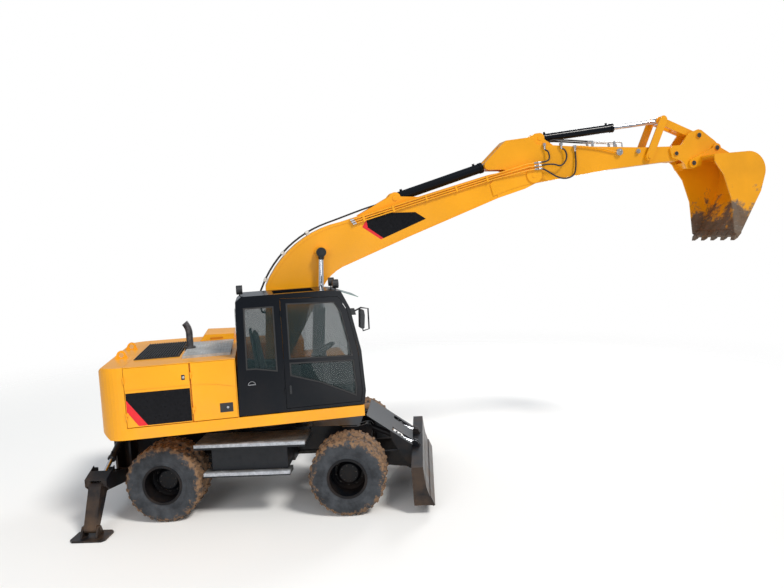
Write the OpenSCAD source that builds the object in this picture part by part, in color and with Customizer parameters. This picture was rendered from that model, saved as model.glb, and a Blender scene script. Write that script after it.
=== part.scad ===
// Wheeled excavator with twin tyres, a dozer blade, two outriggers and a one-piece boom.
// +X runs along the boom, +Y is the machine's left and +Z is up.
// The origin lies on the ground under the swing axis.

/* [Undercarriage] */
// Heading of the undercarriage under the upper structure, degrees
uc_turn = -14; // [-60:1:60]
// Swing axis to the front axle
front_axle_x = 1320; // [1280:5:1380]
// Distance between the axles
wheelbase = 2530; // [2480:5:2580]
// Outer diameter of a tyre
tyre_d = 1060; // [1040:2:1070]
// Width of one tyre
tyre_w = 278; // [264:1:284]
// Gap between twin tyres
twin_gap = 34; // [24:1:50]
// Width over the outer tyres
over_tyres = 2540; // [2520:5:2580]
// Seat radius of a rim
rim_r = 254; // [246:1:262]
// Distance of each kingpin from the middle
kingpin_y = 600; // [590:1:615]
// Half width of the main beam
beam_half = 330; // [300:5:345]
// Underside of the main beam
beam_low = 660; // [640:5:690]
// Top of the main beam
beam_top = 1000; // [980:5:1020]
// Thickness of a frame plate
plate_t = 30; // [20:1:36]
// Height of the upper step
step_high = 1050; // [1030:5:1070]
// Height of the lower step
step_low = 650; // [630:5:670]
// Radius of the swing ring
ring_r = 560; // [520:5:600]

/* [Dozer blade] */
// Width of the blade
blade_w = 2540; // [2400:10:2600]
// Thickness of the blade's shell
blade_t = 26; // [18:1:34]
// Distance of each push arm from the middle
blade_arm_y = 315; // [300:5:330]
// Radius of the blade's cylinders
blade_cyl_r = 46; // [40:1:52]

/* [Outriggers] */
// Middle of the legs behind the swing axis
leg_x = -2050; // [-2070:5:-2030]
// Thickness of a leg
leg_t = 170; // [160:2:180]
// Length of a foot pad
pad_l = 470; // [400:10:520]
// Width of a foot pad
pad_w = 330; // [280:10:340]
// Radius of a leg's cylinder
leg_cyl_r = 48; // [44:1:52]

/* [Upper structure] */
// Half width of the upper structure
upper_half = 1250; // [1220:5:1260]
// Underside of the upper structure's skirt
deck_low = 1290; // [1280:5:1310]
// Floor of the upper structure
deck_top = 1440; // [1430:5:1450]
// Top of the engine housing
hood_top = 2240; // [2200:5:2260]
// Seam between the housing and the counterweight
seam_x = -1800; // [-1810:5:-1790]
// Rearmost point of the counterweight
tail_x = -2180; // [-2260:10:-2140]
// Thickness of a door or a cover
door_t = 34; // [26:1:40]

/* [Cab] */
// Inner wall of the cab
cab_in = -360; // [-370:5:-350]
// Thickness of the cab's walls
cab_t = 46; // [40:1:52]
// Thickness of the glass
glass_t = 8; // [6:1:10]

/* [Boom, stick and bucket] */
// Sideways offset of the boom from the swing axis
boom_y = 60; // [50:1:70]
// Half width of the boom
boom_half = 190; // [180:1:195]
// Angle of the boom's chord above level
boom_tilt = 33; // [32.5:0.1:33.5]
// Distance between the boom's foot pin and the stick's pivot
boom_len = 5090; // [5070:5:5110]
// Distance of each boom cylinder from the boom's middle
boom_cyl_y = 290; // [284:1:294]
// Half width of the stick
stick_half = 140; // [120:1:148]
// Angle of the stick above level
stick_tilt = 6; // [5.5:0.1:6.5]
// Distance between the stick's pivot and the bucket's pivot
stick_len = 2575; // [2560:5:2590]
// Half width of the bucket
bucket_half = 555; // [480:5:600]
// Radius of the boom's cylinders
boom_cyl_r = 68; // [60:1:72]
// Radius of the stick's cylinder
stick_cyl_r = 76; // [66:1:80]
// Radius of the bucket's cylinder
bucket_cyl_r = 66; // [58:1:70]

/* [Hidden] */

seat = 0.3;
fit = 0.1;
round_fn = 64;
hose_r = 13;
tube_r = 11;
pipe_sides = 12;
axle_z = tyre_d / 2;
rear_axle_x = front_axle_x - wheelbase;
tyre_out = over_tyres / 2;
pair_w = 2 * tyre_w + twin_gap;
tyre_in = tyre_out - pair_w;

// Places in the undercarriage's own side view, [x, z]
blade_pivot = [1500, 500];
blade_cyl_top = [1550, 985];
blade_cyl_eye = [2230, 690];
// Places in the outrigger's end view, [y, z], for the left side
leg_pivot = [450, 450];
leg_foot = [1630, 110];
leg_cyl_top = [470, 1050];
leg_cyl_eye = [1300, 620];
leg_cyl_short = 569;
leg_side = 6;

// Places of the boom's and the cylinders' pins, [x, z]
boom_foot = [150, 1830];
boom_cyl_base = [780, 1300];
// In the boom's own frame, along its chord and above it
boom_cyl_eye = [1605, 1021];
stick_cyl_base = [3039, 1007];
// In the stick's own frame, from its pivot towards its tip and above that line
stick_tail = [-704, 256];
bucket_cyl_base = [222, 570];
rocker_foot = [stick_len - 505, 18];
rocker_head = [stick_len - 177, 585];
// From the bucket's pivot
link_eye = [426, 292];
front_pin = [303, -168];
rear_pin = [748, 74];
// Shortest pin-to-pin lengths of the cylinders
boom_cyl_short = 1574;
blade_cyl_short = 577;
ear_gap = blade_cyl_r + 16;
bucket_cyl_short = 1678;

function turned(p, a) = [p[0] * cos(a) - p[1] * sin(a), p[0] * sin(a) + p[1] * cos(a)];
function in_boom(p) = boom_foot + turned(p, boom_tilt);
stick_pivot = in_boom([boom_len, 0]);
function in_stick(p) = stick_pivot + turned(p, stick_tilt);
bucket_pivot = in_stick([stick_len, 0]);
function angle_of(v) = atan2(v[1], v[0]);
function arc(c, r, a0, a1, n) = [for (i = [0:n]) c + r * [cos(a0 + (a1 - a0) * i / n),
    sin(a0 + (a1 - a0) * i / n)]];
function unit(v) = v / norm(v);
function left_of(v) = [-v[1], v[0]];
function side_at(p, i) = i == 0 ? left_of(unit(p[1] - p[0]))
    : i == len(p) - 1 ? left_of(unit(p[i] - p[i - 1]))
    : let(a = left_of(unit(p[i] - p[i - 1])), b = left_of(unit(p[i + 1] - p[i]))) (a + b) / (1 + a * b);
// An open line of points moved t to its left
function beside(p, t) = [for (i = [0:len(p) - 1]) p[i] + t * side_at(p, i)];
function backwards(p) = [for (i = [len(p) - 1:-1:0]) p[i]];
// A strip of thickness t to the left of an open line
function strip(p, t) = concat(p, backwards(beside(p, t)));

module box(a, b) { translate(a) cube(b - a); }
// A flat plate in side view, with its middle at y
module plate(pts, y, t) {
    translate([0, y + t / 2, 0]) rotate([90, 0, 0]) linear_extrude(t) polygon(pts);
}
module pin(p, r, w, y = 0) {
    translate([p[0], y, p[1]]) rotate([90, 0, 0]) cylinder(r = r, h = w, center = true, $fn = round_fn);
}
// A flat plate in end view, with its middle at x
module end_plate(pts, x, t) {
    translate([x - t / 2, 0, 0]) rotate([90, 0, 90]) linear_extrude(t) polygon(pts);
}
module pin_x(p, r, w, x = 0) {
    translate([x, p[0], p[1]]) rotate([0, 90, 0]) cylinder(r = r, h = w, center = true, $fn = round_fn);
}
// Cuts the corners of an open line once, for a rounder course
function eased(p) = concat([p[0]],
    [for (i = [1:len(p) - 2], k = [0.25, -0.25]) p[i] + abs(k) * ((k > 0 ? p[i - 1] : p[i + 1]) - p[i])],
        [p[len(p) - 1]]);
function way_at(p, i) = unit(p[min(i + 1, len(p) - 1)] - p[i] + p[i] - p[max(i - 1, 0)]);
// A hose or tube of radius r through the listed points, as rings that are joined up
module pipe(p, r) {
    n = len(p) - 1;
    m = pipe_sides;
    ring = [for (i = [0:n], k = [0:m - 1])
        let(w = way_at(p, i), u = unit(cross(w, [0, 1, 0])), v = cross(w, u), a = 360 * k / m)
            p[i] + r * (cos(a) * u + sin(a) * v)];
    skin = [for (i = [0:n - 1], k = [0:m - 1], half = [0, 1])
        let(a = i * m + k, b = i * m + (k + 1) % m) half == 0 ? [a, a + m, b + m] : [a, b + m, b]];
    polyhedron(ring, concat(skin, [[for (k = [0:m - 1]) k], [for (k = [m - 1:-1:0]) n * m + k]]));
}
module flip(side) { mirror([0, side < 0 ? 1 : 0, 0]) children(); }
module under() { rotate([0, 0, uc_turn]) children(); }
// Two round ends joined by their tangents, in side view
module strap(a, ra, b, rb, y, t) {
    v = b - a;
    s = angle_of(v);
    w = acos((ra - rb) / norm(v));
    pin(a, ra, t, y);
    pin(b, rb, t, y);
    plate([a + ra * [cos(s + w), sin(s + w)], b + rb * [cos(s + w), sin(s + w)],
           b + rb * [cos(s - w), sin(s - w)], a + ra * [cos(s - w), sin(s - w)]], y, t);
}
// Puts a cylinder's own frame, +X from its base pin to its rod eye, between two points in side view
module aimed(base, eye, y = 0) {
    translate([base[0], y, base[1]]) rotate([0, -angle_of(eye - base), 0]) children();
}
// Barrel: base eye, tube with a bore for the rod, gland ring and port blocks
module barrel(len_gland, r, rod_r, eye_r, pin_r, eye_w) {
    difference() {
        union() {
            pin([0, 0], eye_r, eye_w);
            translate([eye_r * 0.5, 0, 0]) rotate([0, 90, 0])
                cylinder(r = r * 0.82, h = eye_r, $fn = round_fn);
            translate([eye_r + 8, 0, 0]) rotate([0, 90, 0])
                cylinder(r = r, h = len_gland - eye_r - 8, $fn = round_fn);
            translate([len_gland - r * 0.7, 0, 0]) rotate([0, 90, 0])
                cylinder(r = r + 9, h = r * 0.7, $fn = round_fn);
            for (x = [eye_r + r, len_gland - 1.6 * r]) translate([x, 0, r - 4])
                cylinder(r = r * 0.28, h = 30, $fn = 24);
        }
        pin([0, 0], pin_r + fit, 2 * eye_w);
        translate([2 * eye_r + 10, 0, 0]) rotate([0, 90, 0])
            cylinder(r = rod_r + fit, h = len_gland, $fn = round_fn);
    }
}
// Rod: from its inner end to its eye, which carries its own pin ends
module rod(reach, inner, rod_r, eye_r, eye_w) {
    pin([reach, 0], eye_r, eye_w);
    translate([inner, 0, 0]) rotate([0, 90, 0]) cylinder(r = rod_r, h = reach - inner - eye_r * 0.6,
        $fn = round_fn);
    translate([reach - eye_r - 12, 0, 0]) rotate([0, 90, 0])
        cylinder(r = rod_r + 2, h = 12 + eye_r * 0.5, $fn = round_fn);
}

// Twin tyres on the left side, their axis through the origin and their inner face at y = 0
module tyre_pair() {
    crown = tyre_d / 2;
    bead = rim_r + seat;
    half = [[bead, 16], [bead + 60, 6], [crown * 0.75, 0], [crown * 0.93, 10], [crown, 44]];
    for (y = [0, tyre_w + twin_gap]) translate([0, y, 0]) rotate([-90, 0, 0]) rotate_extrude($fn = 72)
        polygon(concat(half, [for (p = backwards(half)) [p[0], tyre_w - p[1]]]));
}
// Twin rims: one barrel, lips at the tyres' beads, a dished disc and the hub's cover
module rim_pair() {
    wall = 12;
    disc_y = pair_w * 0.42;
    disc_t = 22;
    drum_r = 168;
    cover_r = 128;
    cover_y = disc_y + disc_t + 92;
    lip = rim_r + 20;
    rotate([-90, 0, 0]) rotate_extrude($fn = 72) polygon([[0, disc_y], [rim_r - wall, disc_y],
        [rim_r - wall, 4], [lip, 4], [lip, 12], [rim_r, 12], [rim_r, pair_w - 12], [lip, pair_w - 12],
        [lip, pair_w - 4], [rim_r - wall, pair_w - 4], [rim_r - wall, disc_y + 60],
            [rim_r - 50, disc_y + disc_t],
        [drum_r, disc_y + disc_t], [drum_r, cover_y - 40], [cover_r, cover_y], [0, cover_y]]);
}
module wheel_place(x, side) {
    under() translate([x, side * tyre_in, axle_z]) flip(side) children();
}
hub_end = tyre_in + pair_w * 0.42;

module chassis() {
    color([0.13, 0.14, 0.16]) under() difference() {
        union() {
            box([-1760, -beam_half, beam_low], [1420, beam_half, beam_top]);
            box([-560, -620, beam_low - 60], [500, 620, beam_top - 20]);
            translate([0, 0, beam_top - 20]) cylinder(r = ring_r + 60, h = 100, $fn = round_fn);
            box([-700, -450, beam_top - 30], [700, 450, beam_top + 40]);
            // Plates that carry the blade's arms and cylinders
            for (s = [-1, 1], y = [blade_arm_y - ear_gap - plate_t / 2,
                blade_arm_y + ear_gap + plate_t / 2])
                plate([[1180, beam_low + 40], [1428, beam_low + 40], [1428, 450], blade_pivot + [20, -95],
                    blade_pivot + [85, -60], blade_pivot + [85, 60],
                       [1610, 900], [1625, 985], [1600, 1026], [1535, 1032], [1420, beam_top],
                           [1180, beam_top]], s * y, plate_t);
            box([1400, -blade_arm_y - ear_gap, notch_top], [1440, blade_arm_y + ear_gap, beam_top]);
            for (s = [-1, 1]) pin(blade_pivot, 40, 2 * ear_gap + 2 * plate_t + 16, s * blade_arm_y);
            for (s = [-1, 1]) pin(blade_cyl_top, 26, 2 * ear_gap + 2 * plate_t + 16, s * blade_arm_y);
            // Outrigger carrier: two cross plates and the web between them
            for (d = [-1, 1]) end_plate([[-560, 400], [-500, 350], [500, 350], [560, 400], [560, 1080],
                [520, 1120], [-520, 1120], [-560, 1080]],
                leg_x + d * (leg_t / 2 + leg_side + plate_t / 2), plate_t);
            box([leg_x - leg_t / 2 - leg_side, -300, 420], [leg_x + leg_t / 2 + leg_side, 300, 1000]);
            box([leg_x + leg_t / 2 + leg_side, -beam_half, 420], [-1740, beam_half, beam_top]);
            for (s = [-1, 1]) pin_x([s * leg_pivot[0], leg_pivot[1]], 42,
                leg_t + 2 * leg_side + 2 * plate_t + 16, leg_x);
            for (s = [-1, 1]) pin_x([s * leg_cyl_top[0], leg_cyl_top[1]], 26,
                leg_t + 2 * leg_side + 2 * plate_t + 16, leg_x);
            // Towing eye on the rear cross plate
            translate([leg_x - leg_t / 2 - leg_side - plate_t, 0, 620]) rotate([90, 0, 0])
                linear_extrude(40, center = true)
                polygon([[5, -70], [-tow_reach - 20, -45], [-tow_reach - 45, 0], [-tow_reach - 20, 45],
                    [5, 70]]);
        }
        translate([0, 0, beam_top - 60]) cylinder(r = ring_r - 150, h = 200, $fn = round_fn);
        for (x = [front_axle_x, rear_axle_x]) box([x - 215, -245, 300], [x + 215, 245, notch_top]);
        translate([leg_x - leg_t / 2 - leg_side - plate_t - tow_reach, 0, 620]) rotate([90, 0, 0])
            cylinder(r = tow_r, h = 60, center = true, $fn = 48);
    }
}
tow_r = 24;
// Stands clear of the legs, so that a bar passes beside them
tow_reach = 85;

module axle_tube(x, half, r) {
    translate([x, 0, axle_z]) {
        rotate([90, 0, 0]) cylinder(r = r, h = 2 * half, center = true, $fn = round_fn);
        rotate([90, 0, 0]) rotate_extrude($fn = round_fn)
            polygon([[0, -230], [r, -230], [r + 70, -130], [r + 90, -70], [r + 90, 70], [r + 70, 130],
                [r, 230], [0, 230]]);
        rotate([0, 90, 0]) cylinder(r = 70, h = 2 * (r + 120), center = true, $fn = round_fn);
    }
}
yoke_z = 165;
notch_top = axle_z + 195;
cab_low = deck_top + 14;
module axle_front() {
    color([0.13, 0.14, 0.16]) under() {
        axle_tube(front_axle_x, kingpin_y - 110, 90);
        box([front_axle_x - 130, -120, axle_z + 60], [front_axle_x + 130, 120, notch_top]);
        for (s = [-1, 1]) translate([front_axle_x, 0, axle_z]) flip(s) {
            box([-75, kingpin_y - 150, -yoke_z - 36], [75, kingpin_y - 100, yoke_z + 36]);
            for (z = [yoke_z, -yoke_z - 36]) {
                box([-75, kingpin_y - 150, z], [75, kingpin_y, z + 36]);
                translate([0, kingpin_y, z]) cylinder(r = 75, h = 36, $fn = round_fn);
            }
        }
    }
}
module axle_rear() {
    color([0.13, 0.14, 0.16]) under() {
        axle_tube(rear_axle_x, hub_end - 40, 100);
        for (s = [-1, 1]) translate([rear_axle_x, s * (hub_end - seat), axle_z]) rotate([90 * s, 0, 0])
            cylinder(r = 150, h = 130, $fn = round_fn);
        for (s = [-1, 1]) box([rear_axle_x - 120, s * 290 - 40, axle_z + 60],
            [rear_axle_x + 120, s * 290 + 40, beam_low]);
    }
}
module knuckle(side) {
    color([0.13, 0.14, 0.16]) under() translate([front_axle_x, 0, axle_z]) flip(side) {
        translate([0, kingpin_y, -yoke_z + seat]) cylinder(r = 70, h = 2 * (yoke_z - seat), $fn = round_fn);
        translate([0, kingpin_y, 0]) rotate([-90, 0, 0]) cylinder(r = 100, h = hub_end - kingpin_y - 100,
            $fn = round_fn);
        translate([0, hub_end - 130, 0]) rotate([-90, 0, 0])
            cylinder(r = 150, h = 130 - seat, $fn = round_fn);
    }
}
module driveline() {
    color([0.3, 0.31, 0.33]) under() {
        gear_x = 0;
        gear_z = axle_z - 20;
        box([gear_x - 150, -130, gear_z - 90], [gear_x + 150, 130, beam_low - 60]);
        for (end = [[gear_x + 150, front_axle_x - 210], [rear_axle_x + 220, gear_x - 150]]) {
            translate([end[0], 0, axle_z]) rotate([0, 90, 0])
                cylinder(r = 38, h = end[1] - end[0], $fn = 32);
            for (x = [end[0], end[1] - 60]) translate([x, 0, axle_z]) rotate([0, 90, 0])
                cylinder(r = 62, h = 60, $fn = 32);
        }
    }
}
module steps() {
    t = 8;
    step_front = 765;
    color([0.5, 0.52, 0.54]) under() for (s = [-1, 1]) flip(s) {
        // Tool box beside the frame
        box([-550, 620, beam_low], [500, 1100, beam_top - 20]);
        // Upper step with a turned-down rim, on four ribs
        box([-760, 640, step_high - t], [step_front, 1200, step_high]);
        box([-760, 1200 - t, step_high - 70], [step_front, 1200, step_high]);
        for (x = [-760, step_front - t]) box([x, 640, step_high - 70], [x + t, 1200, step_high]);
        for (x = [-500, -200, 100, 400]) box([x, 640, beam_top - 20], [x + t, 1190, step_high - t]);
        // Lower step on two hangers
        box([-650, 960, step_low - t], [540, 1200, step_low]);
        box([-650, 1200 - t, step_low - 60], [540, 1200, step_low]);
        for (x = [-650, 540 - t]) box([x, 960, step_low - 60], [x + t, 1200, step_low]);
        for (x = [-420, 400]) box([x, 960, step_low - t], [x + t, 1100, beam_low + 20]);
    }
}
module swing_ring() {
    color([0.35, 0.36, 0.38]) difference() {
        translate([0, 0, beam_top + 80 + seat]) cylinder(r = ring_r,
            h = deck_low - 90 - beam_top - 80 - 2 * seat, $fn = 96);
        translate([0, 0, beam_top]) cylinder(r = ring_r - 120, h = 400, $fn = 96);
    }
}

blade_back_x = 2204;
blade_foot_x = 2481;
blade_low = 130;
blade_high = 655;
guard_top = [1550, 1170];
guard_end = [2190, 709];
module dozer_blade() {
    front = [[blade_foot_x, blade_low], [2418, 250], [2380, 375], [2360, 510], [2345, blade_high]];
    edge = [[blade_back_x, blade_low], [blade_foot_x, blade_low], front[1], front[2], front[3], front[4],
        [blade_back_x - 15, blade_high]];
    color([0.12, 0.13, 0.15]) under() difference() {
        union() {
        // Curved shell, cutting edge, top and bottom flanges and a box tube behind
        plate(strip(front, blade_t), 0, blade_w);
        plate([[blade_foot_x - 45, blade_low - 6], [blade_foot_x + 4, blade_low - 6],
            [blade_foot_x - 50, 250], [blade_foot_x - 75, 250]], 0, blade_w - 20);
        box([blade_back_x - 15, -blade_w / 2, blade_high - 16], [2340, blade_w / 2, blade_high]);
        box([blade_back_x, -blade_w / 2, blade_low], [blade_foot_x - 40, blade_w / 2, blade_low + 18]);
        box([blade_back_x, -blade_w / 2 + 10, 330], [2370, blade_w / 2 - 10, 460]);
        for (s = [-1, 1], y = [blade_w / 2 - 10, 830, 520, 250]) plate(edge, s * y, 20);
        // Push arms with their bores
        difference() {
            for (s = [-1, 1]) {
                strap(blade_pivot, 78, [2120, 480], 125, s * blade_arm_y, 66);
                pin(blade_pivot, 78, 2 * (ear_gap - seat), s * blade_arm_y);
                plate([[2080, 600], [2080, 360], [blade_back_x + 10, 300], [blade_back_x + 10, 640]],
                    s * blade_arm_y, 66);
            }
            for (s = [-1, 1]) pin(blade_pivot, 40 + fit, 200, s * blade_arm_y);
        }
        // Ears for the lift cylinders' rods
        for (s = [-1, 1], d = [-1, 1])
            plate([[blade_back_x - 10, blade_high - 40], [2175, 690], [2190, 730], [2230, 745],
                [2275, 725], [2310, blade_high - 8]],
                s * blade_arm_y + d * (30 + seat + 12), 24);
        // Sloping guard over the arms, open where the rods pass
        difference() {
            plate(strip([guard_end, guard_top], -12), 0, 960);
            for (s = [-1, 1]) translate([2100 + 20, s * blade_arm_y, 800])
                cube([420, 150, 400], center = true);
        }
        for (s = [-1, 1]) plate([[1880, 939], [2185, 719], [blade_back_x, 600], [blade_back_x + 8, 420],
            [2120, 430], [1900, 800]], s * 470, 16);
        // Boss at the end of the blade
        for (s = [-1, 1]) pin([2232, 578], 34, 60, s * (blade_w / 2 - 30));
        }
        // Room for the rods' eyes
        for (s = [-1, 1]) box([2120, s * blade_arm_y - 30 - seat, 620],
            [2312, s * blade_arm_y + 30 + seat, 800]);
    }
}
blade_cyl_len = norm(blade_cyl_eye - blade_cyl_top);
blade_gland = blade_cyl_short - 42 - 14 - 15;
module blade_barrels() {
    color([0.13, 0.14, 0.16]) under() for (s = [-1, 1])
        aimed(blade_cyl_top, blade_cyl_eye, s * blade_arm_y)
            barrel(blade_gland, blade_cyl_r, 27, 44, 26, 2 * (ear_gap - seat));
}
module blade_rods() {
    color("silver") under() for (s = [-1, 1])
        aimed(blade_cyl_top, blade_cyl_eye, s * blade_arm_y)
            rod(blade_cyl_len, blade_cyl_len - 430, 27, 42, 60);
}

leg_half = leg_t / 2;
leg_gap = leg_cyl_r + 9 + 6;
leg_eye_r = 44;
module leg(side) {
    outline = concat(arc(leg_pivot, 85, 260, 110, 8), [[1090, 690], [1370, 655]],
        arc([1380, 570], 85, 80, 20, 4),
        arc(leg_foot, 48, 20, -160, 10), [[1290, 500], [1150, 480]]);
    color([0.13, 0.14, 0.16]) under() flip(side) difference() {
        union() {
            end_plate(outline, leg_x, leg_t);
            pin_x(leg_pivot, 85, 2 * (leg_half + leg_side - seat), leg_x);
            // Guard over the rod's eye
            end_plate([[1250, 765.7], [1417, 700], [1417, 682], [1250, 747.7]], leg_x, 300);
            for (d = [-1, 1]) end_plate([[1150, 805], [1417, 700], [1417, 600], [1340, 540], [1150, 570]],
                leg_x + d * 144, 12);
            for (d = [-1, 1], y = [1165, 1395]) box([leg_x + (d > 0 ? leg_half - 10 : -150), y, 600],
                [leg_x + (d > 0 ? 150 : 10 - leg_half), y + 16, y < 1200 ? 790 : 695]);
        }
        // Slot for the rod's eye, and the bores
        intersection() {
            box([leg_x - leg_gap, 560, 480], [leg_x + leg_gap, 1372, 900]);
            end_plate([[560, 900], [560, 470], [1100, 540], [1372, 560], [1372, 640], [1372, 688],
                [1150, 784], [1050, 900]], leg_x, leg_t);
        }
        pin_x(leg_pivot, 42 + fit, 200, leg_x);
        pin_x(leg_foot, 25 + fit, 200, leg_x);
    }
}
module pad(side) {
    color([0.16, 0.17, 0.18]) under() flip(side) {
        translate([leg_x, leg_foot[0], 0]) linear_extrude(26) difference() {
            square([pad_l, pad_w], center = true);
            for (a = [-1, 1], b = [-1, 1]) translate([a * pad_l / 2, b * pad_w / 2]) rotate(45)
                square(60, center = true);
        }
        for (d = [-1, 1]) end_plate([[leg_foot[0] - 95, 20], [leg_foot[0] - 48, leg_foot[1] + 20],
            [leg_foot[0] - 25, leg_foot[1] + 44],
            [leg_foot[0] + 25, leg_foot[1] + 44], [leg_foot[0] + 48, leg_foot[1] + 20],
                [leg_foot[0] + 95, 20]], leg_x + d * (leg_half + 4 + 13), 26);
        pin_x(leg_foot, 25, leg_t + 8 + 52 + 20, leg_x);
    }
}
leg_cyl_len = norm(leg_cyl_eye - leg_cyl_top);
leg_gland = leg_cyl_short - leg_eye_r - 14;
module leg_aimed(side) {
    under() flip(side) translate([leg_x, leg_cyl_top[0], leg_cyl_top[1]]) rotate([0, 0, 90])
        rotate([0, -angle_of(leg_cyl_eye - leg_cyl_top), 0]) children();
}
module leg_barrel(side) {
    color([0.13, 0.14, 0.16]) leg_aimed(side) barrel(leg_gland, leg_cyl_r, 30, 44, 26,
        2 * (leg_half + leg_side - seat));
}
module leg_rod(side) {
    color("silver") leg_aimed(side) rod(leg_cyl_len, leg_cyl_len - 462, 30, leg_eye_r,
        2 * (leg_gap - seat));
}

foot_half = boom_half + 12;
boom_gap = boom_cyl_r + 14;
module deck() {
    color([0.95, 0.62, 0.05]) difference() {
        union() {
            // Floor plate on the swing ring, skirts and the main beams
            translate([0, 0, deck_low - 90]) cylinder(r = ring_r + 20, h = 92, $fn = 96);
            box([seam_x, -upper_half, deck_low], [1310, upper_half, deck_top]);
            // Plates of the boom's foot, with their bosses
            for (d = [-1, 1]) {
                y = boom_y + d * (foot_half + 20);
                plate([[-375, deck_top - 10], [-100, boom_foot[1] + 60], boom_foot + [-80, 118],
                    boom_foot + [60, 128], boom_foot + [130, 60],
                       [700, deck_top - 10]], y, 40);
                pin(boom_foot, 120, 60, boom_y + d * (foot_half + 30));
            }
            // Rubber mounts under the cab
            for (x = [-280, 1150], y = [cab_in - 120, -upper_half + 120]) translate([x, y, deck_top - 5])
                cylinder(r = 60, h = cab_low - deck_top + 5, $fn = 32);
            for (d = [-1, 1], e = [-1, 1]) plate([[560, deck_low], [700, deck_low - 70],
                [850, deck_low - 70], [880, boom_cyl_base[1] + 40],
                boom_cyl_base + [40, 92], boom_cyl_base + [-40, 92], [560, deck_top - 10]],
                    boom_y + d * boom_cyl_y + e * (boom_gap + 12), 24);
        }
        // Open front bay for the boom's cylinders, and the ring's bore
        for (d = [-1, 1]) box([600, boom_y + d * boom_cyl_y - boom_gap, deck_low - 200],
            [1400, boom_y + d * boom_cyl_y + boom_gap, deck_top + 200]);
        box([880, boom_y - boom_cyl_y - 95, deck_low - 200],
            [1400, boom_y + boom_cyl_y + 130, deck_top + 100]);
        translate([0, 0, deck_low - 200]) cylinder(r = ring_r - 140, h = 260, $fn = 96);
    }
    // Pins of the boom's foot and of its cylinders
    color([0.3, 0.3, 0.32]) {
        pin(boom_foot, 55, 2 * foot_half + 40 + 80, boom_y);
        for (d = [-1, 1]) pin(boom_cyl_base, 35, 2 * boom_gap + 60, boom_y + d * boom_cyl_y);
    }
}
tail_crease = 1945;
module counterweight() {
    corner = 330;
    w = upper_half;
    plan = concat([[seam_x - seat, -w]], arc([tail_x + corner + 25, -w + corner], corner, 270, 200, 8),
        [[tail_x, -w / 2 - 60], [tail_x - 30, 0], [tail_x, w / 2 + 60]],
        arc([tail_x + corner + 25, w - corner], corner, 160, 90, 8), [[seam_x - seat, w]]);
    side = [[seam_x - seat, deck_low], [tail_x + 150, deck_low], [tail_x + 20, deck_low + 110],
        [tail_x - 30, tail_crease - 60], [tail_x - 5, tail_crease],
        [tail_x + 40, hood_top - 50], [tail_x + 90, hood_top], [seam_x - seat, hood_top]];
    color([0.95, 0.62, 0.05]) difference() {
        union() {
            intersection() {
                translate([0, 0, deck_low]) linear_extrude(hood_top - deck_low) polygon(plan);
                plate(side, 0, 2 * w + 10);
            }
            for (s = [-1, 1]) plate(concat([[-2060, hood_top - 30]],
                arc([-1960, hood_top + 45], 62, 160, 20, 8), [[-1860, hood_top - 30]]), s * 400, 36);
        }
        for (s = [-1, 1]) pin([-1960, hood_top + 45], lift_r, 60, s * 400);
    }
}
lift_r = 34;
module engine() {
    color([0.35, 0.36, 0.38]) box([-1600, -420, deck_top], [-1020, 420, 2050]);
}
split_x = -965;
front_x = -385;
roof_t = 30;
module housing() {
    w = upper_half;
    grille = [[-1750, -700], [-1150, 700]];
    color([0.95, 0.62, 0.05]) {
        difference() {
            union() {
                // Roof, front wall and the posts between the doors
                box([seam_x + 3, -w, hood_top - roof_t], [front_x, w, hood_top]);
                box([front_x - 36, -w, deck_top], [front_x, w, hood_top]);
                for (s = [-1, 1]) flip(s) {
                    box([split_x - 30, w - 120, deck_top], [split_x + 30, w - door_t - 6, hood_top]);
                    box([seam_x + 3, w - 120, deck_top], [seam_x + 40, w - door_t - 6, hood_top]);
                }
            }
            box([grille[0][0], grille[0][1], hood_top - 100], [grille[1][0], grille[1][1], hood_top + 20]);
            for (s = [-1, 1]) flip(s) box([seam_x - 10, w - door_t - 6, deck_top - 10],
                [s > 0 ? split_x : front_x - 8, w + 10, hood_top - 8]);
        }
        for (z = door_hinges) {
            for (s = [-1, 1]) flip(s) hinge_tab(seam_x + 6 - door_seam, z, false);
            flip(-1) hinge_tab(split_x, z, false);
        }
        // Tank and store on the far side, with the raised box behind them
        box([split_x, w - door_t - 6, deck_top], [front_x, w, hood_top]);
        box([front_x, 420, deck_top], [640, w, hood_top - 60]);
        box([640, 480, deck_top], [1290, w, deck_top + 430]);
        difference() {
            plate([[-985, hood_top - 5], [-880, hood_top + 135], [-440, hood_top + 120],
                [-440, hood_top - 5]], (w - 60 + 430) / 2, w - 60 - 430);
            box([-800, 420, hood_top + 50], [-610, 455, hood_top + 80]);
        }
    }
}
// Step plate on the roof between the grille and the cab
exhaust_foot = [-1045, -200];
exhaust_base_r = 75;
module walkway() {
    z = hood_top + seat;
    color([0.6, 0.61, 0.62]) difference() {
        union() {
        box([-1090, -900, z + 30], [-450, 415, z + 36]);
        for (y = [-900, 409]) box([-1090, y, z], [-450, y + 6, z + 36]);
        for (x = [-1090, -780, -456]) box([x, -900, z], [x + 6, 415, z + 36]);
        }
        translate([exhaust_foot[0], exhaust_foot[1], hood_top - 50])
            cylinder(r = exhaust_base_r + 6, h = 200, $fn = 48);
    }
}
module hood_grille() {
    color([0.1, 0.1, 0.11]) {
        box([-1750, -700, hood_top - 22], [-1150, 700, hood_top - 12]);
        for (i = [0:16]) box([-1736 + i * 35, -700, hood_top - 12],
            [-1736 + i * 35 + 12, 700, hood_top + 24]);
        for (y = [-700, -350, 0, 338, 688]) box([-1750, y, hood_top - 12], [-1150, y + 12, hood_top + 14]);
    }
}
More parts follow.
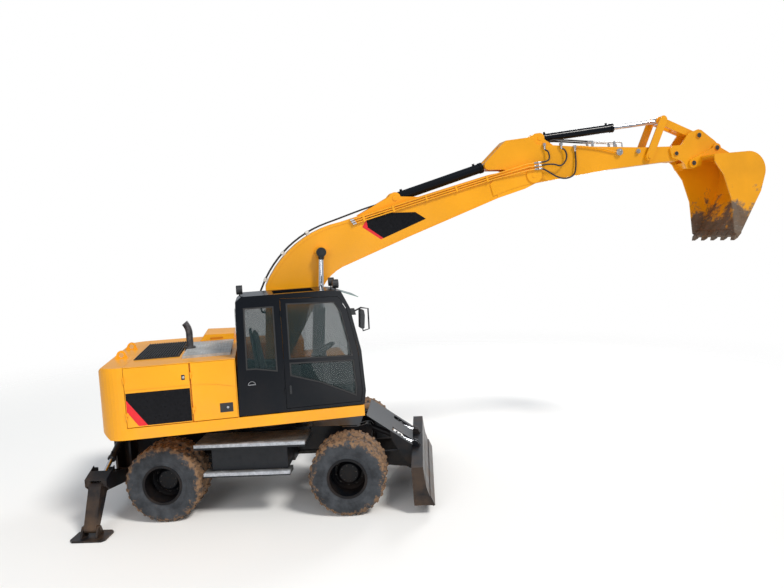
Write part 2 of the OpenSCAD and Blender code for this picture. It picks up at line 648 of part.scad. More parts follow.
module exhaust() {
    color([0.45, 0.42, 0.4]) {
        translate([exhaust_foot[0], exhaust_foot[1], hood_top])
            cylinder(r = exhaust_base_r, h = 60, $fn = 48);
        translate([exhaust_foot[0], exhaust_foot[1], hood_top + 60]) cylinder(r = 48, h = 190, $fn = 48);
        translate([exhaust_foot[0], exhaust_foot[1], hood_top + 250]) rotate([90, 0, 0])
            translate([-260, 0, 0]) rotate_extrude(angle = 38, $fn = 72) translate([260, 0]) difference() {
            circle(r = 48, $fn = 32);
            circle(r = 42, $fn = 32);
        }
    }
}

// Cab outline in side view, from its rear foot up over the roof and down the windscreen
cab_out = [[-380, cab_low], [-330, 2985], [-250, 3050], [880, 3060], [1075, 3040], [1185, 2810],
    [1312, 2206], [1345, 1640], [1315, cab_low]];
cab_mid = (cab_in - upper_half) / 2;
// Half width of the cab, the middle of each console, and the seat's width
cab_half = (upper_half + cab_in) / 2;
console_y = cab_half - 145;
seat_w = 2 * (cab_half - 205);
door_back = 255;
door_gap = 6;
function cab_inside(t) = [[-380 + t, cab_low + t], [-330 + t, 2960], [-240 + t, 3060 - t - 6],
    [870, 3060 - t], [1045, 3040 - t - 10],
    [1185 - t, 2800], [1312 - t, 2200], [1345 - t, 1645], [1315 - t, cab_low + t]];
door_out = [[door_back, 1500], [door_back, 2990], [1030, 2965], [1140, 2780], [1262, 2200], [1292, 1650],
    [1270, 1500]];
door_window = [[door_back + 70, 2160], [door_back + 70, 2925], [975, 2905], [1075, 2745], [1196, 2135]];
door_low_window = [[door_back + 70, 1935], [door_back + 70, 2120], [1200, 2090], [1226, 1700],
    [1215, 1575], [734, 1804]];
quarter_window = [[-250, 2066], [-236, 2900], [door_back - 90, 2900], [door_back - 90, 2010], [-120, 2062]];
module cab_shell() {
    y0 = -upper_half;
    color([0.12, 0.13, 0.15]) difference() {
        plate(cab_out, cab_mid, upper_half + cab_in);
        plate(cab_inside(cab_t), cab_mid, upper_half + cab_in - 2 * cab_t);
        // Doorway, side windows, windscreen, rear window and roof light
        plate([for (p = door_out) p + [p[0] < 300 ? -door_gap : door_gap, p[1] < 1600 ? -door_gap
            : door_gap]], y0, 2 * cab_t + 4);
        plate(quarter_window, y0, 2 * cab_t + 4);
        plate(arc([-188, 1860], 55, 180, 0, 12), y0, 28);
        plate([[-250, 2066], [-236, 2900], [1020, 2900], [1120, 2700], [1230, 2190], [1230, 1950]],
            cab_in, 2 * cab_t + 4);
        translate([1240, cab_mid, 2420]) cube([300, upper_half + cab_in - 160, 1040], center = true);
        translate([1330, cab_mid, 1700]) cube([200, upper_half + cab_in - 160, 340], center = true);
        translate([-360, cab_mid, 2500]) cube([200, upper_half + cab_in - 160, 760], center = true);
        translate([450, cab_mid, 3060]) cube([560, upper_half + cab_in - 260, 200], center = true);
    }
    color([0.12, 0.13, 0.15]) flip(-1) for (z = cab_hinges) hinge_tab(door_back - door_gap, z, true);
}
module cab_glass() {
    color([0.25, 0.4, 0.42, 0.5]) {
        plate(quarter_window, -upper_half + cab_t / 2, glass_t);
        plate([[-250, 2066], [-236, 2900], [1020, 2900], [1120, 2700], [1230, 2190], [1230, 1950]],
            cab_in - cab_t / 2, glass_t);
        plate([[1085.2, 3020], [1082, 3028], [1326, 2940], [1323, 2932]], cab_mid,
            upper_half + cab_in - 180);
        box([-375 + 25, cab_in - upper_half - cab_in + 80, 2120], [-375 + 25 + glass_t, cab_in - 80, 2880]);
    }
}
module door_glass() {
    color([0.25, 0.4, 0.42, 0.5]) {
        plate(door_window, -upper_half + cab_t / 2, glass_t);
        plate(door_low_window, -upper_half + cab_t / 2, glass_t);
    }
}
module cab_door() {
    color([0.12, 0.13, 0.15]) difference() {
        plate(door_out, -upper_half + cab_t / 2, cab_t);
        plate(door_window, -upper_half + cab_t / 2, cab_t + 4);
        plate(door_low_window, -upper_half + cab_t / 2, cab_t + 4);
    }
    color([0.12, 0.13, 0.15]) flip(-1) for (z = cab_hinges) hinge_leaf(door_back - door_gap, z);
}
seat_top = deck_top + 330;
// Front of the seat's back shell at height z
function seat_back(z) = [-60 - 0.117 * (z - seat_top), z];
// Seat cushion and back cushion
module seat_pads() {
    z = seat_top + seat;
    color([0.2, 0.2, 0.21]) {
        plate([[-55, z], [390, z], [420, z + 35], [405, z + 88], [340, z + 96], [-62, z + 84]], cab_mid,
            seat_w);
        plate([for (q = [[seat, z + 106], [seat, 2535], [60, 2550], [84, 2480], [92, 2250], [116, 2000],
            [100, z + 106]])
            seat_back(q[1]) + [q[0], 0]], cab_mid, seat_w - 10);
    }
}
module cab_interior() {
    seat_x = 150;
    color([0.15, 0.15, 0.16]) {
        box([seat_x - 200, cab_mid - seat_w / 2 + 40, cab_low + cab_t],
            [seat_x + 200, cab_mid + seat_w / 2 - 40, deck_top + 300]);
        box([seat_x - 230, cab_mid - seat_w / 2 + 15, deck_top + 300],
            [seat_x + 245, cab_mid + seat_w / 2 - 15, seat_top]);
        plate([seat_back(seat_top - 30) - [36, 0], seat_back(2545) - [32, 0], seat_back(2545),
            seat_back(seat_top - 30)], cab_mid, seat_w - 50);
        for (s = [-1, 1]) box([seat_x - 150, cab_mid + s * console_y - 50, cab_low + cab_t],
            [seat_x + 330, cab_mid + s * console_y + 50, deck_top + 600]);
        plate([[840, cab_low + cab_t], [960, cab_low + cab_t], [860, 2180], [800, 2180]], cab_mid, 90);
        translate([825, cab_mid, 2195]) rotate([0, -25, 0]) rotate_extrude($fn = 64) translate([175, 0])
            circle(r = 14, $fn = 24);
        translate([825, cab_mid, 2180]) rotate([0, -25, 0]) {
            cylinder(r = 50, h = 24, $fn = 32);
            translate([-175, -15, 4]) cube([350, 30, 16]);
        }
    }
}
module cab_fittings() {
    mirror_arm();
    color([0.1, 0.1, 0.11]) {
        for (p = [[1020, -1080, 3047], [1020, -560, 3047], [-270, -1000, 3042.2]]) translate(p) {
            cylinder(r = 10, h = 40, $fn = 24);
            translate([-35, 0, 85]) rotate([0, 90, 0]) cylinder(r = 62, h = 75, $fn = 40);
        }
    }
}
// Front edge of the cab between the roof and the belt
function screen_at(z) = 1185 + (2810 - z) * 0.2103;
module mirror_arm() {
    y = -upper_half - 50;
    color([0.1, 0.1, 0.11]) {
        plate([[screen_at(2790) + seat, 2790], [screen_at(2790) + 60, 2790], [screen_at(2700) + 60, 2700],
            [screen_at(2700) + seat, 2700]],
            -upper_half + 30, 40);
        pipe([[screen_at(2745) + 40, -upper_half + 30, 2745], [1330, y, 2800], [1428, y, 2780],
            [1428, y, 2500], [1345, y, 2480], [1335, y, 2550]], 11);
        plate([[1298, 2530], [1308, 2765], [1322, 2775], [1358, 2768], [1366, 2700], [1352, 2530],
            [1330, 2518]], y, 190);
    }
}
module panel_door(x0, x1, side) {
    color([0.95, 0.62, 0.05]) flip(side) {
        difference() {
            box([x0, upper_half - door_t, deck_top + 10], [x1, upper_half, hood_top - 12]);
            // Below the crease the panel stands back
            plate(concat([[x0 - 1, deck_top], [x1 + 1, deck_top]],
                [for (i = [0:8]) let(k = i / 8) [x1 + 1 - (x1 - x0 + 2) * k,
                door_crease(x1 + (x0 - x1) * k)]]),
                upper_half, 2 * door_step);
        }
        for (z = door_hinges) hinge_leaf(x0 - door_seam, z);
    }
}
door_seam = 4;
// Lets the back door's edge swing past the next door's knuckles
door_clear = 16;
door_step = 8;
door_hinges = [deck_top + 120, hood_top - 210];
cab_hinges = [1700, 2750];
hinge_r = 9;
hinge_y = upper_half + 12;
hinge_h = 40;
// Moving half of a hinge on the left side, its axis at x
function door_crease(x) = tail_crease - (x > split_x ? 80 * pow((x - split_x) / (front_x - split_x), 2)
    : 0);
module hinge_leaf(x, z) {
    translate([x, hinge_y, z + hinge_h + seat]) cylinder(r = hinge_r, h = hinge_h, $fn = 32);
    box([x, upper_half - door_step - 1, z + hinge_h + seat], [x + 34, upper_half + 5, z + 2 * hinge_h]);
}
// Fixed half of a hinge: a tab that comes out of the seam, or a leaf on the wall behind it
module hinge_tab(x, z, wall) {
    translate([x, hinge_y, z]) cylinder(r = hinge_r, h = hinge_h, $fn = 32);
    if (wall) box([x - 34, upper_half - 1, z], [x, upper_half + 5, z + hinge_h]);
    else box([x - 2, upper_half - door_t - 40, z], [x + 2.5, hinge_y, z + hinge_h]);
}

module on_boom() {
    translate([boom_foot[0], boom_y, boom_foot[1]]) rotate([0, -boom_tilt, 0]) children();
}
module on_stick() {
    translate([stick_pivot[0], boom_y, stick_pivot[1]]) rotate([0, -stick_tilt, 0]) children();
}
module on_bucket() { translate([bucket_pivot[0], boom_y, bucket_pivot[1]]) children(); }
stick_cyl_pin = 40;
boom_boss = boom_cyl_y - 45 - seat;
// The boom's crown, the top edge ahead of it, and the flats that make the crown
crown = [1500, -270];
crown_r = 1610;
crown_a = 122;
crown_n = 10;
edge_line = [[2250, 1170], [3230, 850], [boom_len - 1070, 585], [boom_len - 610, 430]];
// Hoses past the elbow: their height above the stick's line where they start, and their planes
elbow_rise = [178, 130, 80];
elbow_start = 67;
elbow_y = boom_half + 50;
elbow_end_y = stick_half + 26;
module boom() {
    tip = [boom_len, 0];
    ridge = concat(arc(crown, crown_r, crown_a, 66, crown_n), edge_line);
    belly = concat(arc([1640, -70], 720, 125, 73, 6), [[2870, 400], [boom_len - 700, 45]]);
    outline = concat([[-112, 85]], ridge, arc(tip, 135, 70, -100, 8), [[boom_len - 250, -95]],
        backwards(belly), [[125, -65]]);
    color([0.95, 0.62, 0.05]) on_boom() difference() {
        union() {
            // The side walls stand back from the flanges
            difference() {
                plate(outline, 0, 2 * boom_half);
                for (d = [-1, 1]) plate(concat(beside(ridge, -46), backwards(beside(belly, 14))),
                    d * boom_half, 12);
            }
            pin([0, 0], 140, 2 * (foot_half - seat));
            for (d = [-1, 1]) pin(tip, 128, 40, d * (boom_half + 6));
            pin(boom_cyl_eye, 90, 2 * boom_boss);
            // Doubler plates at the elbow
            for (d = [-1, 1]) plate(concat([for (q = [[-750, 120], [-690, 300], [-530, 330], [-330, 215]])
                tip + q],
                arc(tip, 118, 60, -110, 8), [tip + [-390, 20]]), d * (boom_half + 0.5), 15);
            // Bracket for the stick's cylinder
            for (d = [-1, 1]) plate(concat([[2420, 1130], [2960, 1080]],
                arc(stick_cyl_base, 92, 110, -20, 6), [[3420, 760], [2500, 1000]]),
                d * (stick_cyl_r + 8 + 14), 28);
            pin(stick_cyl_base, stick_cyl_pin, 2 * (stick_cyl_r + 46));
        }
        pin([0, 0], 55 + fit, 600);
        pin(tip, 48, 600);
        box([boom_len - 410, -stick_half - seat, -400], [boom_len + 300, stick_half + seat, 800]);
    }
    color([0.3, 0.3, 0.32]) on_boom() pin(tip, 48, 2 * boom_half + 60);
}
// Clamps stand on the flats of the boom's crown
crown_flat = (crown_a - 66) / crown_n;
module boom_lines() {
    lane = crown_r + 40;
    y_side = -boom_half - seat - 20;
    color([0.12, 0.12, 0.13]) on_boom() for (y = [-52, 52]) {
        low = crown + lane * [cos(crown_a), sin(crown_a)];
        bend_at = low + 100 * [-sin(crown_a), cos(crown_a)];
        turn_at = bend_at - 330 * [0.6, 0.8];
        top = arc(crown, lane, crown_a, 74, 12);
        foot = eased(eased([turn_at + 72.6 * [0.8, -0.6], turn_at, bend_at]));
        head = eased(eased([[2800.2, 991.3], [2829, 1080], top[12] + [120, -34]]));
        pipe([for (q = concat(foot, top, backwards(head))) [q[0], y, q[1]]], hose_r);
    }
    color([0.8, 0.8, 0.78]) on_boom() for (i = [0, 3, 6])
        translate([crown[0], 0, crown[1]]) rotate([0, -crown_a + crown_flat * (i + 0.5), 0])
            translate([crown_r * cos(crown_flat / 2) + seat, -80, -30]) cube([64, 160, 60]);
    // Three tubes along the upper edge of the right side wall, out to the elbow
    color([0.9, 0.6, 0.08]) on_boom() for (i = [0:2]) {
        end = [elbow_start, elbow_rise[i]];
        pipe(concat([for (q = edge_line) [q[0], y_side, q[1] - 24 - 36 * i]],
            [for (q = [end - [160, 0], end]) let(b = [boom_len, 0] + turned(q,
                stick_tilt - boom_tilt)) [b[0], -elbow_y, b[1]]]), tube_r);
    }
    color([0.9, 0.6, 0.08]) on_boom() for (x = [2440, 2900, 3420, boom_len - 1190, boom_len - 690])
        translate([x, -boom_half - seat - 17, lookup(x, edge_line) - 60]) rotate([0, 18, 0])
            cube([36, 34, 108], center = true);
}
module boom_cyl(d) {
    aimed(boom_cyl_base, in_boom(boom_cyl_eye), boom_y + d * boom_cyl_y) children();
}
boom_cyl_len = norm(in_boom(boom_cyl_eye) - boom_cyl_base);
module boom_barrels() {
    color([0.12, 0.13, 0.15]) for (d = [-1, 1]) boom_cyl(d)
        barrel(boom_cyl_short - 140, boom_cyl_r, 42, 72, 35, 2 * (boom_gap - seat));
}
module boom_rods() {
    color("silver") for (d = [-1, 1]) boom_cyl(d) {
        rod(boom_cyl_len, boom_cyl_len - 1390, 42, 72, 90);
        pin([boom_cyl_len, 0], 44, 24, d * 56);
    }
}
stick_shoulder = [760, 362];
stick_wrist = [stick_len - 589, 185];
module stick() {
    outline = concat(arc(stick_tail, 75, 250, 120, 6), [[-481, 520], [-371, 600], [56, 601], [137, 475],
        stick_shoulder, stick_wrist],
        arc([stick_len, 0], 125, 88, -88, 10), [[stick_len - 88, -107], [1389, -90], [661, -112],
            [51, -133], [-468, 153]]);
    color([0.95, 0.62, 0.05]) on_stick() difference() {
        union() {
            plate(outline, 0, 2 * stick_half);
            for (d = [-1, 1]) plate(concat([[0, 500], [40, 601], [150, 650]],
                arc(bucket_cyl_base, 82, 100, -20, 6), [[470, 400], [60, 420]]),
                d * (bucket_cyl_r + 8 + 13), 26);
            pin(bucket_cyl_base, 36, 2 * (bucket_cyl_r + 42));
            pin(rocker_foot, 62, 2 * (rocker_in - seat));
            pin(rocker_foot, 35, 2 * (rocker_in + rocker_t + 12));
        }
        pin([0, 0], 48 + fit, 600);
        pin([stick_len, 0], 40 + fit, 600);
        box([-900, -55 - seat, -200], [-455, 55 + seat, 800]);
        box([-456, -55 - seat, -200], [-334, 55 + seat, 345]);
    }
}
// The three hose loops past the elbow, from the boom's tubes to the stick's upper edge
elbow_loops = [[[290, 178], [300, 340], [252, 366], [252, 430]],
    [[330, 130], [480, 60], [610, 190], [592, 330], [541, 348], [541, 400]],
    [[150, 80], [440, -140], [690, -120], [752, 60], [772, 250], [772, 330]]];
module elbow_hoses() {
    color([0.1, 0.1, 0.11]) on_stick() for (i = [0:2]) {
        way = eased(eased(concat([[elbow_start + 6, elbow_rise[i]]], elbow_loops[i])));
        n = len(way) - 1;
        pipe([for (k = [0:n]) [way[k][0], -elbow_y + (elbow_y - elbow_end_y) * min(1,
            max(0, k - 1) / (n - 4)), way[k][1]]], hose_r);
    }
}
port_at = [1550, 162];
small_port_at = [stick_len - 681, 131];
module stick_lines() {
    y_tube = -elbow_end_y;
    // Blocks that the hoses end on, and the ports on the stick's side
    color([0.7, 0.7, 0.7]) on_stick() {
        for (i = [0:2]) {
            q = elbow_loops[i][len(elbow_loops[i]) - 1];
            box([q[0] - 22, -elbow_end_y - 22, q[1] + seat], [q[0] + 22, -stick_half - seat, q[1] + 44]);
        }
        for (q = [[port_at, 56, 46], [small_port_at, 38, 36]]) {
            pin(q[0], q[1], q[2], -stick_half - seat - q[2] / 2);
            pin(q[0], q[1] * 0.6, 18, -stick_half - q[2] - 9);
        }
    }
    // Tube from the lowest hose's block to the port
    color([0.9, 0.6, 0.08]) on_stick() pipe([[790, y_tube, 352], [860, y_tube, 352], [1240, y_tube, 262],
        [1440, y_tube, 186], [1500, y_tube, 172]], tube_r);
    // Hoses and tubes that feed the bucket's cylinder, over the stick's top
    for (d = [-1, 1]) {
        y = d * (bucket_cyl_r + 21);
        from = [380, 475] + (1 + seat) * [0.639, 0.769];
        color([0.1, 0.1, 0.11]) on_stick() pipe([for (q = [from, from + 66 * [0.639, 0.769],
            [1098, 402]]) [q[0], y, q[1]]], hose_r);
        color([0.75, 0.76, 0.78]) on_stick() pipe([for (q = [[1098, 402], [1560, 335], [1662, 320],
            [1651, stick_top_at(1651) + 0.83367]]) [q[0], y, q[1]]], tube_r);
        color([0.75, 0.76, 0.78]) on_stick() for (x = [1130, 1520]) {
            top = stick_top_at(x);
            box([x - 16, y - 18, top + 4], [x + 16, y + 18, 402 - 0.145 * (x - 1098) + 14]);
        }
    }
}
// Top of the stick between its shoulder and its wrist
// Fall of the stick's top edge from its shoulder to its wrist, to five places
stick_fall = round(100000 * (stick_shoulder[1] - stick_wrist[1])
    / (stick_wrist[0] - stick_shoulder[0])) / 100000;
function stick_top_at(x) = stick_shoulder[1] - (x - stick_shoulder[0]) * stick_fall;
module stick_cyl() { aimed(in_boom(stick_cyl_base), in_stick(stick_tail), boom_y) children(); }
stick_cyl_len = norm(in_stick(stick_tail) - in_boom(stick_cyl_base));
module stick_barrel() {
    color([0.12, 0.13, 0.15]) stick_cyl() barrel(stick_cyl_len - 66 - 14, stick_cyl_r, 42, 75,
        stick_cyl_pin, 2 * (stick_cyl_r + 8 - seat));
}
module stick_rod() { color("silver") stick_cyl() rod(stick_cyl_len, 210, 42, 66, 110); }
module bucket_cyl() { aimed(in_stick(bucket_cyl_base), in_stick(rocker_head), boom_y) children(); }
bucket_cyl_len = norm(rocker_head - bucket_cyl_base);
module bucket_barrel() {
    color([0.12, 0.13, 0.15]) bucket_cyl() barrel(1345, bucket_cyl_r, 38, 68, 36,
        2 * (bucket_cyl_r + 8 - seat));
}
module bucket_rod() {
    color("silver") bucket_cyl() rod(bucket_cyl_len, bucket_cyl_len - 1500, 38, 62, 120);
}
rocker_in = stick_half + 34;
rocker_t = 26;
link_in = 60 + seat;
module rocker() {
    color([0.95, 0.62, 0.05]) on_stick() difference() {
        for (d = [-1, 1]) {
            strap(rocker_foot, 66, rocker_head, 64, d * (rocker_in + rocker_t / 2), rocker_t);
            pin(rocker_head, 34, rocker_in - link_in, d * (rocker_in + link_in) / 2);
        }
        pin(rocker_foot, 35 + fit, 600);
    }
}
module link() {
    head = in_stick(rocker_head) - bucket_pivot;
    v = link_eye - head;
    q = head + 0.5 * v;
    color([0.95, 0.62, 0.05]) on_bucket() difference() {
        union() {
            for (d = [-1, 1]) strap(head, 62, link_eye, 56, d * (link_in + 20), 40);
            pin(link_eye, 56, 2 * stick_half - 2 * seat);
            strap(q, 50, link_eye, 50, 0, 2 * link_in);
        }
        pin(head, 34 + fit, 600);
    }
}
coupler_in = stick_half + seat;
coupler_t = 30;
module coupler() {
    outline = [[-115, 85], [-75, -68], [92, -117], [151, -163], [200, -258], [345, -258], [395, -235],
        [424, -58], [830, -36], [832, 100], [728, 200],
        [605, 288], [480, 380], [420, 392], [240, 331], [96, 140], [-60, 130]];
    color([0.95, 0.62, 0.05]) on_bucket() {
        for (d = [-1, 1]) plate(outline, d * (coupler_in + coupler_t / 2), coupler_t);
        pin([0, 0], 40, 2 * (coupler_in + coupler_t + 14));
        for (d = [-1, 1]) pin(link_eye, 46, 20, d * (coupler_in + coupler_t + 8));
        plate([[200, -150], [330, -235], [392, -215], [415, -57], [800, -37], [800, 40], [640, 60],
            [380, -20]], 0, 2 * coupler_in);
        for (p = [front_pin, rear_pin]) pin(p, 45, 2 * 216);
    }
}
ear_in = coupler_in + coupler_t + 4;
module bucket() {
    skin = concat([[432, -68]], arc([1078, -350], 315, 88, -12, 10),
        [[1300, -700], [1120, -1010], [930, -1345], [872, -1420]]);
    t = 24;
    color([0.9, 0.58, 0.05]) on_bucket() difference() {
        union() {
            plate(strip(skin, -t), 0, 2 * bucket_half);
            for (d = [-1, 1]) plate(concat(skin, [[800, -1370], [745, -797], [608, -405], [451, -191]]),
                d * (bucket_half - 12), 24);
            for (d = [-1, 1]) plate(concat(arc(front_pin, 76, 120, 270, 6),
                [[440, -215], [470, -85], [1040, -45]], arc(rear_pin, 76, 0, 180, 6)),
                d * (ear_in + 16), 32);
            // Lip and teeth
            plate([[960, -1290], [905, -1320], [820, -1410], [840, -1440], [900, -1400]], 0,
                2 * bucket_half);
            for (i = [-2:2]) plate([[935, -1300], [880, -1330], [800, -1420], [785, -1493], [850, -1460],
                [925, -1380]], i * (bucket_half - 50) / 2, 90);
        }
        for (p = [front_pin, rear_pin]) pin(p, 45 + fit, 600);
    }
}

chassis();
axle_front();
axle_rear();
driveline();
steps();
swing_ring();
knuckle(-1);  // knuckle_right
knuckle(1);  // knuckle_left
color("dimgray") wheel_place(front_axle_x, -1) tyre_pair();  // tyre_front_right
color("dimgray") wheel_place(front_axle_x, 1) tyre_pair();  // tyre_front_left
color("dimgray") wheel_place(rear_axle_x, -1) tyre_pair();  // tyre_rear_right
color("dimgray") wheel_place(rear_axle_x, 1) tyre_pair();  // tyre_rear_left
color("black") wheel_place(front_axle_x, -1) rim_pair();  // rim_front_right
color("black") wheel_place(front_axle_x, 1) rim_pair();  // rim_front_left
color("black") wheel_place(rear_axle_x, -1) rim_pair();  // rim_rear_right
color("black") wheel_place(rear_axle_x, 1) rim_pair();  // rim_rear_left
dozer_blade();
blade_barrels();
blade_rods();
leg(-1);  // leg_right
leg(1);  // leg_left
pad(-1);  // pad_right
pad(1);  // pad_left
leg_barrel(-1);  // leg_barrel_right
leg_barrel(1);  // leg_barrel_left
leg_rod(-1);  // leg_rod_right
leg_rod(1);  // leg_rod_left
deck();
counterweight();
engine();
housing();
hood_grille();
exhaust();
walkway();
cab_shell();
cab_glass();
cab_interior();
seat_pads();
cab_fittings();
cab_door();
door_glass();
panel_door(seam_x + 6, split_x - door_clear, -1);  // door_engine
panel_door(split_x + door_seam, front_x - 12, -1);  // door_service
panel_door(seam_x + 6, split_x - door_clear, 1);  // door_left
boom();
boom_lines();
boom_barrels();
boom_rods();
stick();
stick_lines();
elbow_hoses();
stick_barrel();
stick_rod();
bucket_barrel();
bucket_rod();
rocker();
link();
coupler();
bucket();
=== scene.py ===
"""Looks of a wheeled excavator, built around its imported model."""
import math

import bmesh
import bpy
from mathutils import Matrix, Vector


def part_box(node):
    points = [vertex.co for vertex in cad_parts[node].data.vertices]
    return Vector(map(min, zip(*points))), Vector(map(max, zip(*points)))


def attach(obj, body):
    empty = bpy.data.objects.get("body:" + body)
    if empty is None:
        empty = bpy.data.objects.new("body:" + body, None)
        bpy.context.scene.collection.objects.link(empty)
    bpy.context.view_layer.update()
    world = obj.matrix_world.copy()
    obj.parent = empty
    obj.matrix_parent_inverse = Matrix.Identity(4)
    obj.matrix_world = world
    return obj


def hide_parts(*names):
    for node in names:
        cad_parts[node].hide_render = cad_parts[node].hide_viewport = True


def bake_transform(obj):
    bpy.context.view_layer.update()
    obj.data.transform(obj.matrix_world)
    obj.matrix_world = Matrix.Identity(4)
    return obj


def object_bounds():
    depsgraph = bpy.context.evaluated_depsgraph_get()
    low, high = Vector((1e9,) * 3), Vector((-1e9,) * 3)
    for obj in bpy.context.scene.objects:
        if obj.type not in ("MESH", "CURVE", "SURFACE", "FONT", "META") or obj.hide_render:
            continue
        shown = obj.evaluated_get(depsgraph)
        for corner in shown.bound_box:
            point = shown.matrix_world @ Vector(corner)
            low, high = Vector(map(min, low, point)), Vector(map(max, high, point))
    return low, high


bl_info = {
    "name": "Wheeled excavator finish",
    "version": (1, 0, 0),
    "blender": (4, 5, 0),
    "location": "View3D > Sidebar > Excavator",
    "description": "Paint, tyre lugs, hoses, seat, panels and studio for a packed wheeled excavator",
    "category": "Object",
}

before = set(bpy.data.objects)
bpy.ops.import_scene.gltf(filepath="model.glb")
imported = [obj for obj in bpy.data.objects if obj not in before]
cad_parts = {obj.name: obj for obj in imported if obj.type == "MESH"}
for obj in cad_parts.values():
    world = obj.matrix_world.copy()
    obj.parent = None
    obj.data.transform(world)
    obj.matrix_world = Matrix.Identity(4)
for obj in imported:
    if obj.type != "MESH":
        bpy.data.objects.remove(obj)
CAD_LOW, CAD_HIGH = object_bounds()

# The turn of the undercarriage under the upper structure, and the arm's own frames
UNDER_TURN = math.radians(14.0)
UNDER = Matrix.Rotation(-UNDER_TURN, 4, "Z")
BOOM_Y = 0.060
BOOM_FOOT = Vector((0.150, BOOM_Y, 1.830))
BOOM_TILT = math.radians(33.0)
BOOM_LEN = 5.090
STICK_TILT = math.radians(6.0)
STICK_LEN = 2.575
STICK_HALF = 0.140
BOOM = Matrix.Translation(BOOM_FOOT) @ Matrix.Rotation(-BOOM_TILT, 4, "Y")
ELBOW = BOOM @ Vector((BOOM_LEN, 0.0, 0.0))
STICK = Matrix.Translation(ELBOW) @ Matrix.Rotation(-STICK_TILT, 4, "Y")
# Middle and reach of the black eye at the end of a boom cylinder's rod
BOOM_ROD_EYE = BOOM @ Vector((1.605, 0.0, 1.021))
ROD_EYE_REACH = 0.112
# Half the width over the doors and the cab, and how far a door's lower panel steps in
SIDE = 1.250
DOOR_STEP = 0.008
# What parts a piece from the face that it lies on
HAIR = 0.0006


class PaintSettings(bpy.types.PropertyGroup):
    body: bpy.props.FloatVectorProperty(
        name="Body paint", description="Colour of the boom, hood and counterweight",
        subtype="COLOR", size=3, min=0.0, max=1.0, default=(0.93, 0.385, 0.003))
    black: bpy.props.FloatVectorProperty(
        name="Black paint", description="Colour of the cab and the undercarriage",
        subtype="COLOR", size=3, min=0.0, max=1.0, default=(0.0045, 0.006, 0.009))
    mud: bpy.props.FloatVectorProperty(
        name="Mud", description="Colour of the dried soil on tyres and bucket",
        subtype="COLOR", size=3, min=0.0, max=1.0, default=(0.20, 0.115, 0.06))
    stripe: bpy.props.FloatVectorProperty(
        name="Stripe", description="Colour of the stripe beside the black panels",
        subtype="COLOR", size=3, min=0.0, max=1.0, default=(0.75, 0.012, 0.02))


class TyreSettings(bpy.types.PropertyGroup):
    lugs: bpy.props.IntProperty(
        name="Lugs", description="Lugs on each shoulder of a tyre", min=12, max=60, default=30)
    depth: bpy.props.FloatProperty(
        name="Lug depth", description="Height of a lug over the carcass",
        subtype="DISTANCE", min=0.004, max=0.03, default=0.017)
    width: bpy.props.FloatProperty(
        name="Tyre width", description="Width of one tyre",
        subtype="DISTANCE", min=0.2, max=0.3, default=0.278)
    gap: bpy.props.FloatProperty(
        name="Twin gap", description="Gap between twin tyres",
        subtype="DISTANCE", min=0.02, max=0.06, default=0.034)


class PlateSettings(bpy.types.PropertyGroup):
    pitch: bpy.props.FloatProperty(
        name="Stud pitch", description="Distance between the raised studs of the step plates",
        subtype="DISTANCE", min=0.02, max=0.1, default=0.042)
    stud: bpy.props.FloatProperty(
        name="Stud length", description="Length of one raised stud",
        subtype="DISTANCE", min=0.01, max=0.05, default=0.026)


class HoseSettings(bpy.types.PropertyGroup):
    radius: bpy.props.FloatProperty(
        name="Hose radius", description="Outer radius of the hoses past the elbow",
        subtype="DISTANCE", min=0.006, max=0.02, default=0.0128)


class StageSettings(bpy.types.PropertyGroup):
    lens: bpy.props.FloatProperty(
        name="Lens", description="Focal length of the camera in millimetres",
        min=15.0, max=90.0, default=30.6)
    sun: bpy.props.FloatProperty(
        name="Sun", description="Strength of the soft key light", min=0.0, max=6.0, default=2.3)
    sky: bpy.props.FloatProperty(
        name="Sky", description="Strength of the even light from all sides", min=0.0, max=2.0, default=0.46)


class ExcavatorSettings(bpy.types.PropertyGroup):
    paint: bpy.props.PointerProperty(type=PaintSettings, name="Paint", description="Colours")
    tyre: bpy.props.PointerProperty(type=TyreSettings, name="Tyres", description="Tyre sizes")
    plate: bpy.props.PointerProperty(type=PlateSettings, name="Step plates", description="Stud sizes")
    hose: bpy.props.PointerProperty(type=HoseSettings, name="Hoses", description="Hose sizes")
    stage: bpy.props.PointerProperty(type=StageSettings, name="Stage", description="Camera and light")


def settings():
    return bpy.context.scene.excavator


def node(tree, kind, inputs, out=0, **props):
    """One output of a new node; its inputs, by name or number, are values or links."""
    made = tree.nodes.new(kind)
    for key, value in props.items():
        setattr(made, key, value)
    for key, value in inputs.items():
        if isinstance(value, bpy.types.NodeSocket):
            tree.links.new(value, made.inputs[key])
        else:
            made.inputs[key].default_value = value
    return made.outputs[out]


def arith(tree, kind, a, b=0.0):
    return node(tree, "ShaderNodeMath", {0: a, 1: b}, operation=kind)


def shade(colour, factor, lift=0.0):
    return tuple(c * factor + lift for c in colour)


